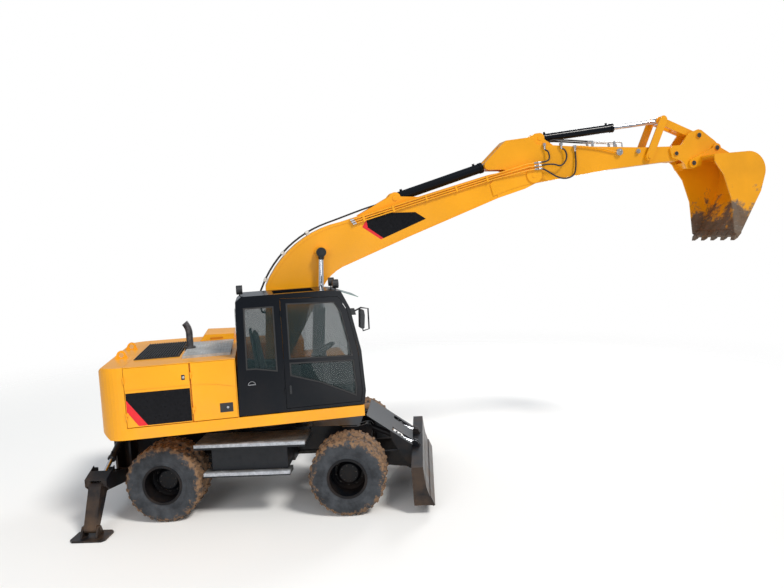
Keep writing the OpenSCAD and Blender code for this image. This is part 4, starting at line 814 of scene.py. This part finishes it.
# Stations and radii of the nut at a tube's end, and of the block where a hose meets its tube
TUBE_NUT = ((0, 0.013), (0.002, 0.0165), (0.024, 0.0165), (0.026, 0.014), (0.060, 0.014), (0.062, 0.012))
TUBE_JOINT = ((-0.022, 0.012), (-0.020, 0.0165), (0.004, 0.0165), (0.005, 0.0148), (0.050, 0.0148),
              (0.052, 0.0132))


def crown_axes(degrees):
    """Out from the crown, and along it, at an angle."""
    a = math.radians(degrees)
    return Vector((math.cos(a), 0, math.sin(a))), Vector((-math.sin(a), 0, math.cos(a)))


class EXCAVATOR_OT_make_boom_lines(bpy.types.Operator):
    """Lays the hoses over the boom's crown and the tubes along its upper edge"""
    bl_idname = "excavator.make_boom_lines"
    bl_label = "Make the boom's hoses and tubes"

    def execute(self, context):
        lane = CROWN_R + 0.040
        hoses, clamps, tubes, blocks, clips = (bmesh.new() for _ in range(5))
        for y in (-0.052, 0.052):
            top = [CROWN + lane * crown_axes(CROWN_A + (74 - CROWN_A) * k / 12)[0] for k in range(13)]
            bend = top[0] + 0.100 * crown_axes(CROWN_A)[1]
            turn = bend - 0.330 * Vector((0.6, 0, 0.8))
            foot = eased([turn + 0.0726 * Vector((0.8, 0, -0.6)), turn, bend], 3)
            head = eased(flat([(2.8002, 0.9913), (2.829, 1.080)]) + [top[12] + Vector((0.120, 0, -0.034))], 3)
            course = foot + top + list(reversed(head))
            sweep(hoses, flat([(p.x, p.z) for p in course], y), HOSE_R, BOOM, 20)
        keep(hoses, "boom_hoses", "boom", "rubber", ["boom_lines"])
        step = (CROWN_A - CROWN_END) / CROWN_N
        for i in (0, 3, 6):
            out, along = crown_axes(CROWN_A - step * (i + 0.5))
            base = CROWN + out * (CROWN_R * math.cos(math.radians(step / 2)) + HAIR / 2)
            place = BOOM @ Matrix.Translation(base) @ axes(out, Vector((0, 1, 0)), along)
            slab(clamps, oblong(0.0, -0.028, 0.030, 0.028), -0.079, 0.079, place, 0.003)
            slab(clamps, oblong(0.031, -0.028, 0.063, 0.028), -0.079, 0.079, place, 0.004)
            for y in (-0.024, 0.024):
                nut = place @ Matrix.Translation((0.0625, y, 0)) @ Matrix.Rotation(math.pi / 2, 4, "Y")
                lathe(clamps, [(0, 0), (0.007, 0), (0.008, -0.001), (0.008, 0.0005), (0, 0.0005)], nut, 6)
        keep(clamps, "boom_clamps", "boom", "clamp", sharp=25.0)
        side = -BOOM_HALF - HAIR / 2 - 0.020
        for rise, drop_by in zip(ELBOW_RISE, (0.024, 0.060, 0.096)):
            course = flat([(x, z - drop_by) for x, z in EDGE_LINE], side)
            for x in (ELBOW_START - 0.160, ELBOW_START):
                p = BOOM.inverted() @ STICK @ Vector((x, 0, rise))
                course.append(Vector((p.x, -ELBOW_Y, p.z)))
            sweep(tubes, course, TUBE_R, BOOM, 18)
            for at, inner in ((course[0], course[1]), (course[-1], course[-2])):
                fitting(blocks, at, way(at, inner), [s + 0.0004 for s, _ in TUBE_NUT],
                        [r for _, r in TUBE_NUT], BOOM)
        keep(tubes, "boom_tubes", "boom", "arm")
        keep(blocks, "boom_tube_nuts", "boom", "steel", sharp=25.0)
        for x in (2.440, 2.900, 3.420, 3.900, 4.400):
            (x0, z0), (x1, z1) = next(e for e in zip(EDGE_LINE, EDGE_LINE[1:]) if e[0][0] <= x <= e[1][0])
            z = z0 + (z1 - z0) * (x - x0) / (x1 - x0)
            tilt = Matrix.Rotation(math.radians(18), 4, "Y")
            place = BOOM @ Matrix.Translation((x, side + 0.003, z - 0.060)) @ tilt
            slab(clips, oblong(-0.0175, -0.0535, 0.0175, 0.0535), -0.0165, 0.0165, place, 0.004)
        keep(clips, "boom_clips", "boom", "arm", sharp=25.0)
        return {"FINISHED"}


# Lines on the stick, in its frame: the bucket's two lines, the side tube, and the ports
BUCKET_LINE_Y = 0.087
HOSE_WAY = Vector((0.639, 0, 0.769))
BUCKET_LINE = ((1.098, 0.402), (1.560, 0.335), (1.662, 0.320), (1.651, 0.2342))
SIDE_TUBE = ((0.790, 0.352), (0.860, 0.352), (1.240, 0.262), (1.440, 0.186), (1.500, 0.172))
PORTS = (((1.550, 0.162), 0.056, 0.046), ((1.894, 0.131), 0.038, 0.036))
# A port's face: radius as a share of its own, and height over its thickness
PORT_FACE = ((0.0, 0.0085), (0.22, 0.0085), (0.24, 0.014), (0.5, 0.014), (0.54, 0.010), (0.56, -0.001),
             (0.72, -0.0015), (0.92, -0.001), (0.995, -0.005))


class EXCAVATOR_OT_make_stick_lines(bpy.types.Operator):
    """Lays the hoses, tubes, blocks and ports of the stick"""
    bl_idname = "excavator.make_stick_lines"
    bl_label = "Make the stick's hoses and tubes"

    def execute(self, context):
        hoses, tubes, side_tube, blocks = (bmesh.new() for _ in range(4))
        for y in (-BUCKET_LINE_Y, BUCKET_LINE_Y):
            start = Vector((0.380, y, 0.475)) + 0.0013 * HOSE_WAY
            course = eased([start, start + 0.066 * HOSE_WAY, *flat(BUCKET_LINE[:1], y)], 2)
            sweep(hoses, course, HOSE_R, STICK, 20)
            sweep(tubes, eased(flat(BUCKET_LINE, y), 2), TUBE_R, STICK, 18)
            fitting(blocks, course[-1], way(course[-1], course[-2]), [s for s, _ in TUBE_JOINT],
                    [r for _, r in TUBE_JOINT], STICK)
            for x in (1.130, 1.520):
                top = 0.362 - (x - 0.760) * 0.14437
                high = 0.402 - 0.145 * (x - 1.098) + 0.0135
                foot = oblong(x - 0.0155, top + 0.0045, x + 0.0155, high)
                slab(blocks, foot, y - 0.0175, y + 0.0175, STICK, 0.003)
        keep(hoses, "stick_hoses", "stick", "rubber", ["stick_lines"])
        keep(tubes, "stick_tubes", "stick", "steel")
        sweep(side_tube, eased(flat(SIDE_TUBE, -ELBOW_END_Y), 2), TUBE_R, STICK, 18)
        keep(side_tube, "stick_side_tube", "stick", "arm")
        for loop in ELBOW_LOOPS:
            x, z = loop[-1]
            slab(blocks, oblong(x - 0.0215, z + 0.0005, x + 0.0215, z + 0.0435), -ELBOW_END_Y - 0.0215,
                 -STICK_HALF - HAIR, STICK, 0.003)
        for (x, z), r, thick in PORTS:
            wall = Matrix.Translation((x, -STICK_HALF - HAIR, z)) @ Matrix.Rotation(math.pi / 2, 4, "X")
            rim = [(r * share, thick + over) for share, over in PORT_FACE] + [(r * 0.995, 0.0), (0.0, 0.0)]
            lathe(blocks, rim, STICK @ wall, 48)
        keep(blocks, "stick_ports", "stick", "steel", sharp=28.0)
        return {"FINISHED"}



CAB_MID = -0.805
SEAT_TOP = 1.770
# The even mesh's voxel, the frames of the cloth, and the sewn channels: place across, half width, depth
VOXEL, CLOTH_FRAMES = 0.009, 20
CHANNEL_AT, CHANNEL_HALF, CHANNEL_DEEP = 0.56, 0.05, 0.006


def seat_back(z):
    return -0.060 - 0.117 * (z - SEAT_TOP)


def stuffed(obj, cap):
    """Blows a cushion up with cloth, holds each point within cap of where it was, and applies it."""
    mod = obj.modifiers.new("mesh", "REMESH")
    mod.mode = "VOXEL"
    mod.voxel_size = VOXEL
    even = seen_mesh(obj)
    obj.modifiers.clear()
    obj.data = even
    start = [v.co.copy() for v in even.vertices]
    cloth = obj.modifiers.new("cloth", "CLOTH")
    cloth.settings.use_pressure = True
    cloth.settings.uniform_pressure_force = 4.0
    cloth.settings.effector_weights.gravity = 0.0
    cloth.settings.tension_stiffness = 30.0
    cloth.point_cache.frame_start = 1
    cloth.point_cache.frame_end = CLOTH_FRAMES
    scene = bpy.context.scene
    for number in range(1, CLOTH_FRAMES + 1):
        scene.frame_set(number)
    blown = seen_mesh(obj)
    obj.modifiers.clear()
    for v, was, now in zip(even.vertices, start, blown.vertices):
        move = now.co - was
        if move.length > cap:
            move *= cap / move.length
        v.co = was + move
    bpy.data.meshes.remove(blown)
    scene.frame_set(1)


class EXCAVATOR_OT_make_seat(bpy.types.Operator):
    """Blows up the seat's cushion and its back, and sinks their sewn channels"""
    bl_idname = "excavator.make_seat"
    bl_label = "Make the seat cushions"

    def execute(self, context):
        z = SEAT_TOP
        base = [(-0.045, z + 0.012), (0.375, z + 0.012), (0.405, z + 0.038), (0.392, z + 0.078),
                (0.335, z + 0.086), (-0.050, z + 0.074)]
        back = [(seat_back(q) + dx, q) for q, dx in (
            (z + 0.116, 0.012), (2.520, 0.012), (2.538, 0.050), (2.470, 0.074), (2.250, 0.080),
            (2.000, 0.102), (z + 0.116, 0.088))]
        for name, outline, half, cap in (
                ("seat_cushion", base, 0.228, 0.012), ("seat_back_cushion", back, 0.222, 0.010)):
            bm = bmesh.new()
            slab(bm, outline, CAB_MID - half, CAB_MID + half, chamfer=0.012)
            obj = keep(bm, name, "upper", "cloth", ["seat_pads"], ride=False)
            stuffed(obj, cap)
            mesh = obj.data
            mesh.materials.clear()
            mesh.materials.append(finish("cloth"))
            mid_x, mid_z = (sum(p[k] for p in outline) / len(outline) for k in (0, 1))
            for v in mesh.vertices:
                across = abs(v.co.y - CAB_MID) / half
                groove = min(abs(across - CHANNEL_AT), CHANNEL_HALF) / CHANNEL_HALF
                sink = CHANNEL_DEEP * (1 - groove * groove)
                v.co += way(v.co, Vector((mid_x, v.co.y, mid_z))) * sink
            mesh.polygons.foreach_set("use_smooth", [True] * len(mesh.polygons))
            smooth = obj.modifiers.new("smooth", "SUBSURF")
            smooth.levels = smooth.render_levels = 1
            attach(obj, "upper")
        return {"FINISHED"}


# Thickness of a panel's film, what parts it from its wall, and the boom's half width over its plates
DECAL_T = 0.0009
TOUCH = 0.0002
BOOM_WALL = 0.184
BOOM_PANEL = [(1.671, 4.003), (1.723, 4.108), (2.444, 4.098), (2.608, 3.987), (1.922, 3.721), (1.684, 3.895)]
BOOM_STRIPES = [[(1.640, 3.972), (1.671, 4.003), (1.684, 3.895), (1.600, 3.905)],
                [(1.600, 3.905), (1.684, 3.895), (1.922, 3.721), (1.880, 3.705)]]
DOOR_PANEL = [(-1.540, 1.462), (-0.985, 1.462), (-0.985, 1.900), (-1.788, 1.900), (-1.788, 1.815)]
DOOR_STRIPES = [[(-1.655, 1.462), (-1.540, 1.462), (-1.788, 1.815), (-1.788, 1.660)]]


def on_wall(bm, points, wall, side, thick, chamfer=0.0):
    """A thin plate on a wall at y = wall that faces side."""
    slab(bm, points, *sorted((wall, wall + side * thick)), chamfer=chamfer)


class EXCAVATOR_OT_make_panels(bpy.types.Operator):
    """Lays the bare black panels and their red stripes on the boom and the engine doors"""
    bl_idname = "excavator.make_panels"
    bl_label = "Make the black panels"

    def execute(self, context):
        for side, door in ((-1, "door_engine"), (1, "door_left")):
            for kind, body, wall, panel, stripes in (
                    ("boom", "boom", BOOM_Y + side * (BOOM_WALL + TOUCH), BOOM_PANEL, BOOM_STRIPES),
                    ("door", door, side * (SIDE - DOOR_STEP + TOUCH), DOOR_PANEL, DOOR_STRIPES)):
                black, red = bmesh.new(), bmesh.new()
                on_wall(black, panel, wall, side, DECAL_T)
                for stripe in stripes:
                    on_wall(red, stripe, wall, side, DECAL_T)
                keep(black, f"{kind}_panel_{door}", body, "panel", sharp=20.0)
                keep(red, f"{kind}_stripe_{door}", body, "stripe", sharp=20.0)
        return {"FINISHED"}


# Feet of the work lamps, profiles of a lens and its bezel, and the line up the mirror's middle
LAMPS = ((1.020, -1.080, 3.047), (1.020, -0.560, 3.047), (-0.270, -1.000, 3.0422))
LENS = [(0.0, 0.0062), (0.020, 0.0056), (0.038, 0.0038), (0.049, 0.0008), (0.049, -0.0005), (0.0, -0.0005)]
BEZEL = [(0.050, -0.0005), (0.050, 0.005), (0.053, 0.0075), (0.058, 0.0070), (0.0615, 0.002),
         (0.0615, -0.0005)]
MIRROR_LOW, MIRROR_HIGH = Vector((1.3005, -1.300, 2.545)), Vector((1.3095, -1.300, 2.750))


class EXCAVATOR_OT_make_lamps(bpy.types.Operator):
    """Glazes the work lamps and silvers the mirror"""
    bl_idname = "excavator.make_lamps"
    bl_label = "Make the lamp lenses and the mirror"

    def execute(self, context):
        lenses, bezels = bmesh.new(), bmesh.new()
        for x, y, z in LAMPS:
            side, reach = (1, 0.040) if x > 0 else (-1, -0.035)
            face = Matrix.Translation((x + reach, y, z + 0.085))
            place = face @ Matrix.Rotation(side * math.pi / 2, 4, "Y")
            lathe(lenses, LENS, place, 48)
            lathe(bezels, BEZEL, place, 48, closed=True)
        keep(lenses, "lamp_lenses", "upper", "lens", sharp=50.0)
        keep(bezels, "lamp_bezels", "upper", "plastic", sharp=50.0)
        mirror = bmesh.new()
        rise = way(MIRROR_LOW, MIRROR_HIGH)
        out = Vector((-rise.z, 0, rise.x))
        middle = Matrix.Translation((MIRROR_LOW + MIRROR_HIGH) / 2 - out * 0.0028)
        place = middle @ axes(out, Vector((0, 1, 0)), rise)
        slab(mirror, oblong(0.0, -0.100, 0.004, 0.100), -0.083, 0.083, place, 0.0012)
        keep(mirror, "mirror_face", "upper", "mirror", sharp=20.0)
        return {"FINISHED"}


def pulled_in(points, inset):
    """Points of a closed outline, pulled in by inset towards its middle."""
    points = [Vector(p) for p in points]
    mid = sum(points, Vector((0, 0))) / len(points)
    out = []
    for i, b in enumerate(points):
        a, c = points[i - 1], points[(i + 1) % len(points)]
        n1, n2 = (Vector((-(q - p).y, (q - p).x)).normalized() for p, q in ((a, b), (b, c)))
        if n1.dot(mid - b) < 0:
            n1, n2 = -n1, -n2
        n = (n1 + n2).normalized()
        out.append(b + n * inset / max(0.4, n.dot(n1)))
    return out


def seal(bm, points, y, wide=0.020, thick=0.004):
    """A flat rubber frame laid along the inside of a window's edge."""
    outer, inner = pulled_in(points, HAIR), pulled_in(points, wide)
    rows = [[bm.verts.new((p.x, y + deep, p.y)) for p in ring]
            for ring, deep in ((outer, thick), (outer, 0.0), (inner, 0.0), (inner, thick))]
    for a, b in zip(rows, rows[1:] + rows[:1]):
        walls(bm, a, b)


# Side windows of the door and the cab, whose edges keep off the line where the door begins
PANE_FRONT, PANE_BACK = 0.325, 0.165
WINDOWS = {
    "cab_door": (((PANE_FRONT, 2.160), (PANE_FRONT, 2.925), (0.975, 2.905), (1.075, 2.745), (1.196, 2.135)),
                 ((PANE_FRONT, 1.935), (PANE_FRONT, 2.120), (1.200, 2.090), (1.226, 1.700), (1.215, 1.575),
                  (0.734, 1.804))),
    "upper": (((-0.250, 2.066), (-0.236, 2.900), (PANE_BACK, 2.900), (PANE_BACK, 2.010), (-0.120, 2.062)),),
}
HANDLE = [(0.006, -0.055), (0.020, -0.062), (0.034, -0.055), (0.034, 0.055), (0.020, 0.062), (0.006, 0.055)]
CATCH_RING = [(0.044, 0.0), (0.046, 0.006), (0.050, 0.006), (0.052, 0.0)]


class EXCAVATOR_OT_make_cab_trim(bpy.types.Operator):
    """Frames the side windows with seals and puts the door's handle and catch in place"""
    bl_idname = "excavator.make_cab_trim"
    bl_label = "Make the cab's seals and handle"

    def execute(self, context):
        for body, windows in WINDOWS.items():
            bm = bmesh.new()
            for points in windows:
                seal(bm, points, -SIDE + 0.005)
            keep(bm, f"window_seals_{body}", body, "rubber", sharp=30.0)
        bm = bmesh.new()
        place = Matrix.Translation((0.300, -SIDE + HAIR, 1.750))
        slab(bm, HANDLE, -0.012, 0.0, place, 0.003)
        slab(bm, oblong(0.009, -0.050, 0.031, 0.040), -0.022, -0.0115, place, 0.004)
        keep(bm, "cab_door_handle", "cab_door", "plastic", sharp=30.0)
        # Ring and bar of the catch that holds the open door
        bm = bmesh.new()
        place = Matrix.Translation((-0.188, -SIDE + 0.010, 1.860)) @ Matrix.Rotation(math.pi / 2, 4, "X")
        lathe(bm, CATCH_RING, place, 48, closed=True)
        slab(bm, oblong(-0.233, 1.853, -0.143, 1.867), -SIDE + 0.002, -SIDE + 0.009, chamfer=0.001)
        keep(bm, "door_catch", "upper", "steel", sharp=30.0)
        return {"FINISHED"}


# Each side door's latch: the way its wall faces, the wall's step, its x and z, and its pocket's half size
LATCHES = (("door_service", -1, DOOR_STEP, -0.535, 1.595, 0.085, 0.062),
           ("door_left", 1, 0.0, -1.060, 2.050, 0.022, 0.034),
           ("door_engine", -1, 0.0, -1.060, 2.050, 0.022, 0.034))
POCKET_T = 0.0022
LATCH = [(0.0, 0.0052), (0.007, 0.0052), (0.008, 0.0045), (0.014, 0.004), (0.016, 0.002), (0.016, 0.0),
         (0.0, 0.0)]


class EXCAVATOR_OT_make_latches(bpy.types.Operator):
    """Sets the latches of the side doors in their black pockets"""
    bl_idname = "excavator.make_latches"
    bl_label = "Make the side doors' latches"

    def execute(self, context):
        for door, side, step, x, z, wide, high in LATCHES:
            wall = side * (SIDE - step + TOUCH)
            bm = bmesh.new()
            on_wall(bm, oblong(x - wide, z - high, x + wide, z + high), wall, side, POCKET_T, 0.0006)
            keep(bm, f"latch_pocket_{door}", door, "plastic", sharp=30.0)
            bm = bmesh.new()
            at = Matrix.Translation((x + 0.2 * wide, wall + side * (POCKET_T + TOUCH), z))
            lathe(bm, LATCH, at @ Matrix.Rotation(-side * math.pi / 2, 4, "X"), 32)
            keep(bm, f"latch_{door}", door, "steel", sharp=30.0)
        return {"FINISHED"}


# Ends of the bucket's pins: x and z from the stick's end, radius, and distance from the arm's middle
PINS = ((0.0, 0.0, 0.040, 0.1843), (0.303, -0.168, 0.045, 0.2160), (0.748, 0.074, 0.045, 0.2160),
        (0.426, 0.292, 0.046, 0.1883))
# A cap's radius as a share of its pin's, its profile in shares of that radius, and its keeper bolt's profile
CAP_SHARE = 0.86
CAP = ((0.0, 0.004), (0.5, 0.004), (0.56, 0.0065), (0.9, 0.0065), (1.0, 0.004), (1.0, -0.0005),
       (0.0, -0.0005))
KEEPER = [(0.0, 0.0135), (0.011, 0.0135), (0.0135, 0.011), (0.0135, 0.003), (0.0, 0.003)]


class EXCAVATOR_OT_make_pin_caps(bpy.types.Operator):
    """Closes the ends of the bucket's pins with a steel cap and its keeper bolt"""
    bl_idname = "excavator.make_pin_caps"
    bl_label = "Make the caps of the bucket's pins"

    def execute(self, context):
        pivot = STICK @ Vector((STICK_LEN, 0.0, 0.0))
        bm = bmesh.new()
        for x, z, radius, half in PINS:
            for side in (-1, 1):
                at = Matrix.Translation((pivot.x + x, BOOM_Y + side * half, pivot.z + z))
                place = at @ Matrix.Rotation(-side * math.pi / 2, 4, "X")
                lathe(bm, [(radius * CAP_SHARE * share, h) for share, h in CAP], place, 40)
                lathe(bm, KEEPER, place, 6)
        keep(bm, "pin_caps", "bucket", "cast", sharp=30.0)
        return {"FINISHED"}


# The camera as fitted to the photo: place, turn from +Y, dip and roll
CAMERA_AT = Vector((-0.010, -10.230, 3.730))
CAMERA_YAW, CAMERA_DIP, CAMERA_ROLL = 0.197, 0.085, -0.053
# Soft lights: place, aim, size and power
SOFT_LIGHTS = {
    "fill": ((-6.0, -11.0, 6.5), (1.5, 0.0, 1.8), 6.0, 420.0),
    "rim": ((9.0, 8.0, 7.0), (1.5, 0.0, 2.0), 5.0, 520.0),
    "low": ((3.0, -9.0, 1.2), (0.5, 0.0, 1.0), 4.0, 90.0),
}
FLOOR_HALF = 60.0
# Distances from the swing axis between which the floor fades out
FADE = (6.0, 17.0)


def soft_light(name, at, aim, size, power):
    data = bpy.data.lights.new(name, "AREA")
    data.shape = "DISK"
    data.size = size
    data.energy = power
    obj = placed(name, data)
    obj.location = at
    obj.rotation_euler = (Vector(aim) - Vector(at)).to_track_quat("-Z", "Y").to_euler()


def pale_world(sky):
    """Even light for the machine, and plain white where the camera looks past it."""
    world = bpy.data.worlds.new("studio")
    bpy.context.scene.world = world
    world.use_nodes = True
    tree = world.node_tree
    tree.nodes.clear()
    light = node(tree, "ShaderNodeBackground", {"Color": (0.86, 0.92, 1.0, 1.0), "Strength": sky})
    white = node(tree, "ShaderNodeBackground", {"Color": (1.0, 1.0, 1.0, 1.0), "Strength": 1.0})
    seen = node(tree, "ShaderNodeLightPath", {}, "Is Camera Ray")
    pick = node(tree, "ShaderNodeMixShader", {0: seen, 1: light, 2: white})
    tree.links.new(pick, tree.nodes.new("ShaderNodeOutputWorld").inputs["Surface"])


def pale_floor():
    """A matt floor that fades into the white background well away from the machine."""
    f = Finish("floor", 0.9, Base_Color=(0.86, 0.86, 0.85, 1.0))
    far = node(f.tree, "ShaderNodeVectorMath", {0: f.where}, "Value", operation="LENGTH")
    given = {"Value": far, "From Min": FADE[0], "From Max": FADE[1]}
    fade = node(f.tree, "ShaderNodeMapRange", given, "Result", interpolation_type="SMOOTHSTEP")
    clear = node(f.tree, "ShaderNodeBsdfTransparent", {})
    paint = f.tree.nodes["Principled BSDF"].outputs[0]
    mix = node(f.tree, "ShaderNodeMixShader", {0: fade, 1: paint, 2: clear})
    f.tree.links.new(mix, f.tree.nodes["Material Output"].inputs["Surface"])
    return f.mat


class EXCAVATOR_OT_set_stage(bpy.types.Operator):
    """Sets the floor, the soft lights and the camera"""
    bl_idname = "excavator.set_stage"
    bl_label = "Set the stage"

    def execute(self, context):
        s = settings().stage
        scene = context.scene
        bm = bmesh.new()
        bmesh.ops.create_grid(bm, x_segments=1, y_segments=1, size=FLOOR_HALF)
        mesh = bpy.data.meshes.new("floor")
        bm.to_mesh(mesh)
        bm.free()
        mesh.materials.append(pale_floor())
        floor = placed("floor", mesh)
        floor.location.z = CAD_LOW.z - 0.002
        pale_world(s.sky)
        sun = placed("key", bpy.data.lights.new("key", "SUN"))
        sun.data.energy = s.sun
        sun.data.angle = math.radians(14.0)
        sun.data.color = (1.0, 0.97, 0.92)
        sun.rotation_euler = (math.radians(42.0), 0.0, math.radians(38.0))
        for name, row in SOFT_LIGHTS.items():
            soft_light(name, *row)
        data = bpy.data.cameras.new("camera")
        data.lens, data.sensor_width, data.clip_end = s.lens, 36.0, 300.0
        flat_ahead = Vector((math.sin(CAMERA_YAW), math.cos(CAMERA_YAW), 0.0))
        ahead = flat_ahead * math.cos(CAMERA_DIP) - Vector((0.0, 0.0, math.sin(CAMERA_DIP)))
        right = Vector((flat_ahead.y, -flat_ahead.x, 0.0))
        up = right.cross(ahead)
        across = right * math.cos(CAMERA_ROLL) + up * math.sin(CAMERA_ROLL)
        over = up * math.cos(CAMERA_ROLL) - right * math.sin(CAMERA_ROLL)
        scene.camera = placed("camera", data)
        scene.camera.matrix_world = Matrix.Translation(CAMERA_AT) @ axes(across, over, -ahead)
        scene.view_settings.view_transform = "Standard"
        return {"FINISHED"}


STEPS = (
    EXCAVATOR_OT_finish_nodes,
    EXCAVATOR_OT_make_tyres,
    EXCAVATOR_OT_make_wheel_nuts,
    EXCAVATOR_OT_make_studs,
    EXCAVATOR_OT_make_elbow_hoses,
    EXCAVATOR_OT_make_boom_lines,
    EXCAVATOR_OT_make_stick_lines,
    EXCAVATOR_OT_make_seat,
    EXCAVATOR_OT_make_panels,
    EXCAVATOR_OT_make_lamps,
    EXCAVATOR_OT_make_cab_trim,
    EXCAVATOR_OT_make_latches,
    EXCAVATOR_OT_make_pin_caps,
    EXCAVATOR_OT_set_stage,
)


class EXCAVATOR_PT_panel(bpy.types.Panel):
    """Settings and steps of the excavator's finish"""
    bl_idname = "EXCAVATOR_PT_panel"
    bl_label = "Wheeled excavator"
    bl_space_type = "VIEW_3D"
    bl_region_type = "UI"
    bl_category = "Excavator"

    def draw(self, context):
        s = context.scene.excavator
        for label, group, names in (
                ("Paint", s.paint, ("body", "black", "mud", "stripe")),
                ("Tyres", s.tyre, ("lugs", "depth", "width", "gap")),
                ("Step plates", s.plate, ("pitch", "stud")),
                ("Hoses", s.hose, ("radius",)),
                ("Stage", s.stage, ("lens", "sun", "sky"))):
            box = self.layout.box()
            box.label(text=label)
            for name in names:
                box.prop(group, name)
        for step in STEPS:
            self.layout.operator(step.bl_idname)


CLASSES = (PaintSettings, TyreSettings, PlateSettings, HoseSettings, StageSettings, ExcavatorSettings,
           *STEPS, EXCAVATOR_PT_panel)


def register():
    for cls in CLASSES:
        bpy.utils.register_class(cls)
    bpy.types.Scene.excavator = bpy.props.PointerProperty(type=ExcavatorSettings)


def unregister():
    del bpy.types.Scene.excavator
    for cls in reversed(CLASSES):
        bpy.utils.unregister_class(cls)


def main():
    register()
    for step in STEPS:
        group, name = step.bl_idname.split(".")
        getattr(getattr(bpy.ops, group), name)()


if __name__ == "__main__":
    main()
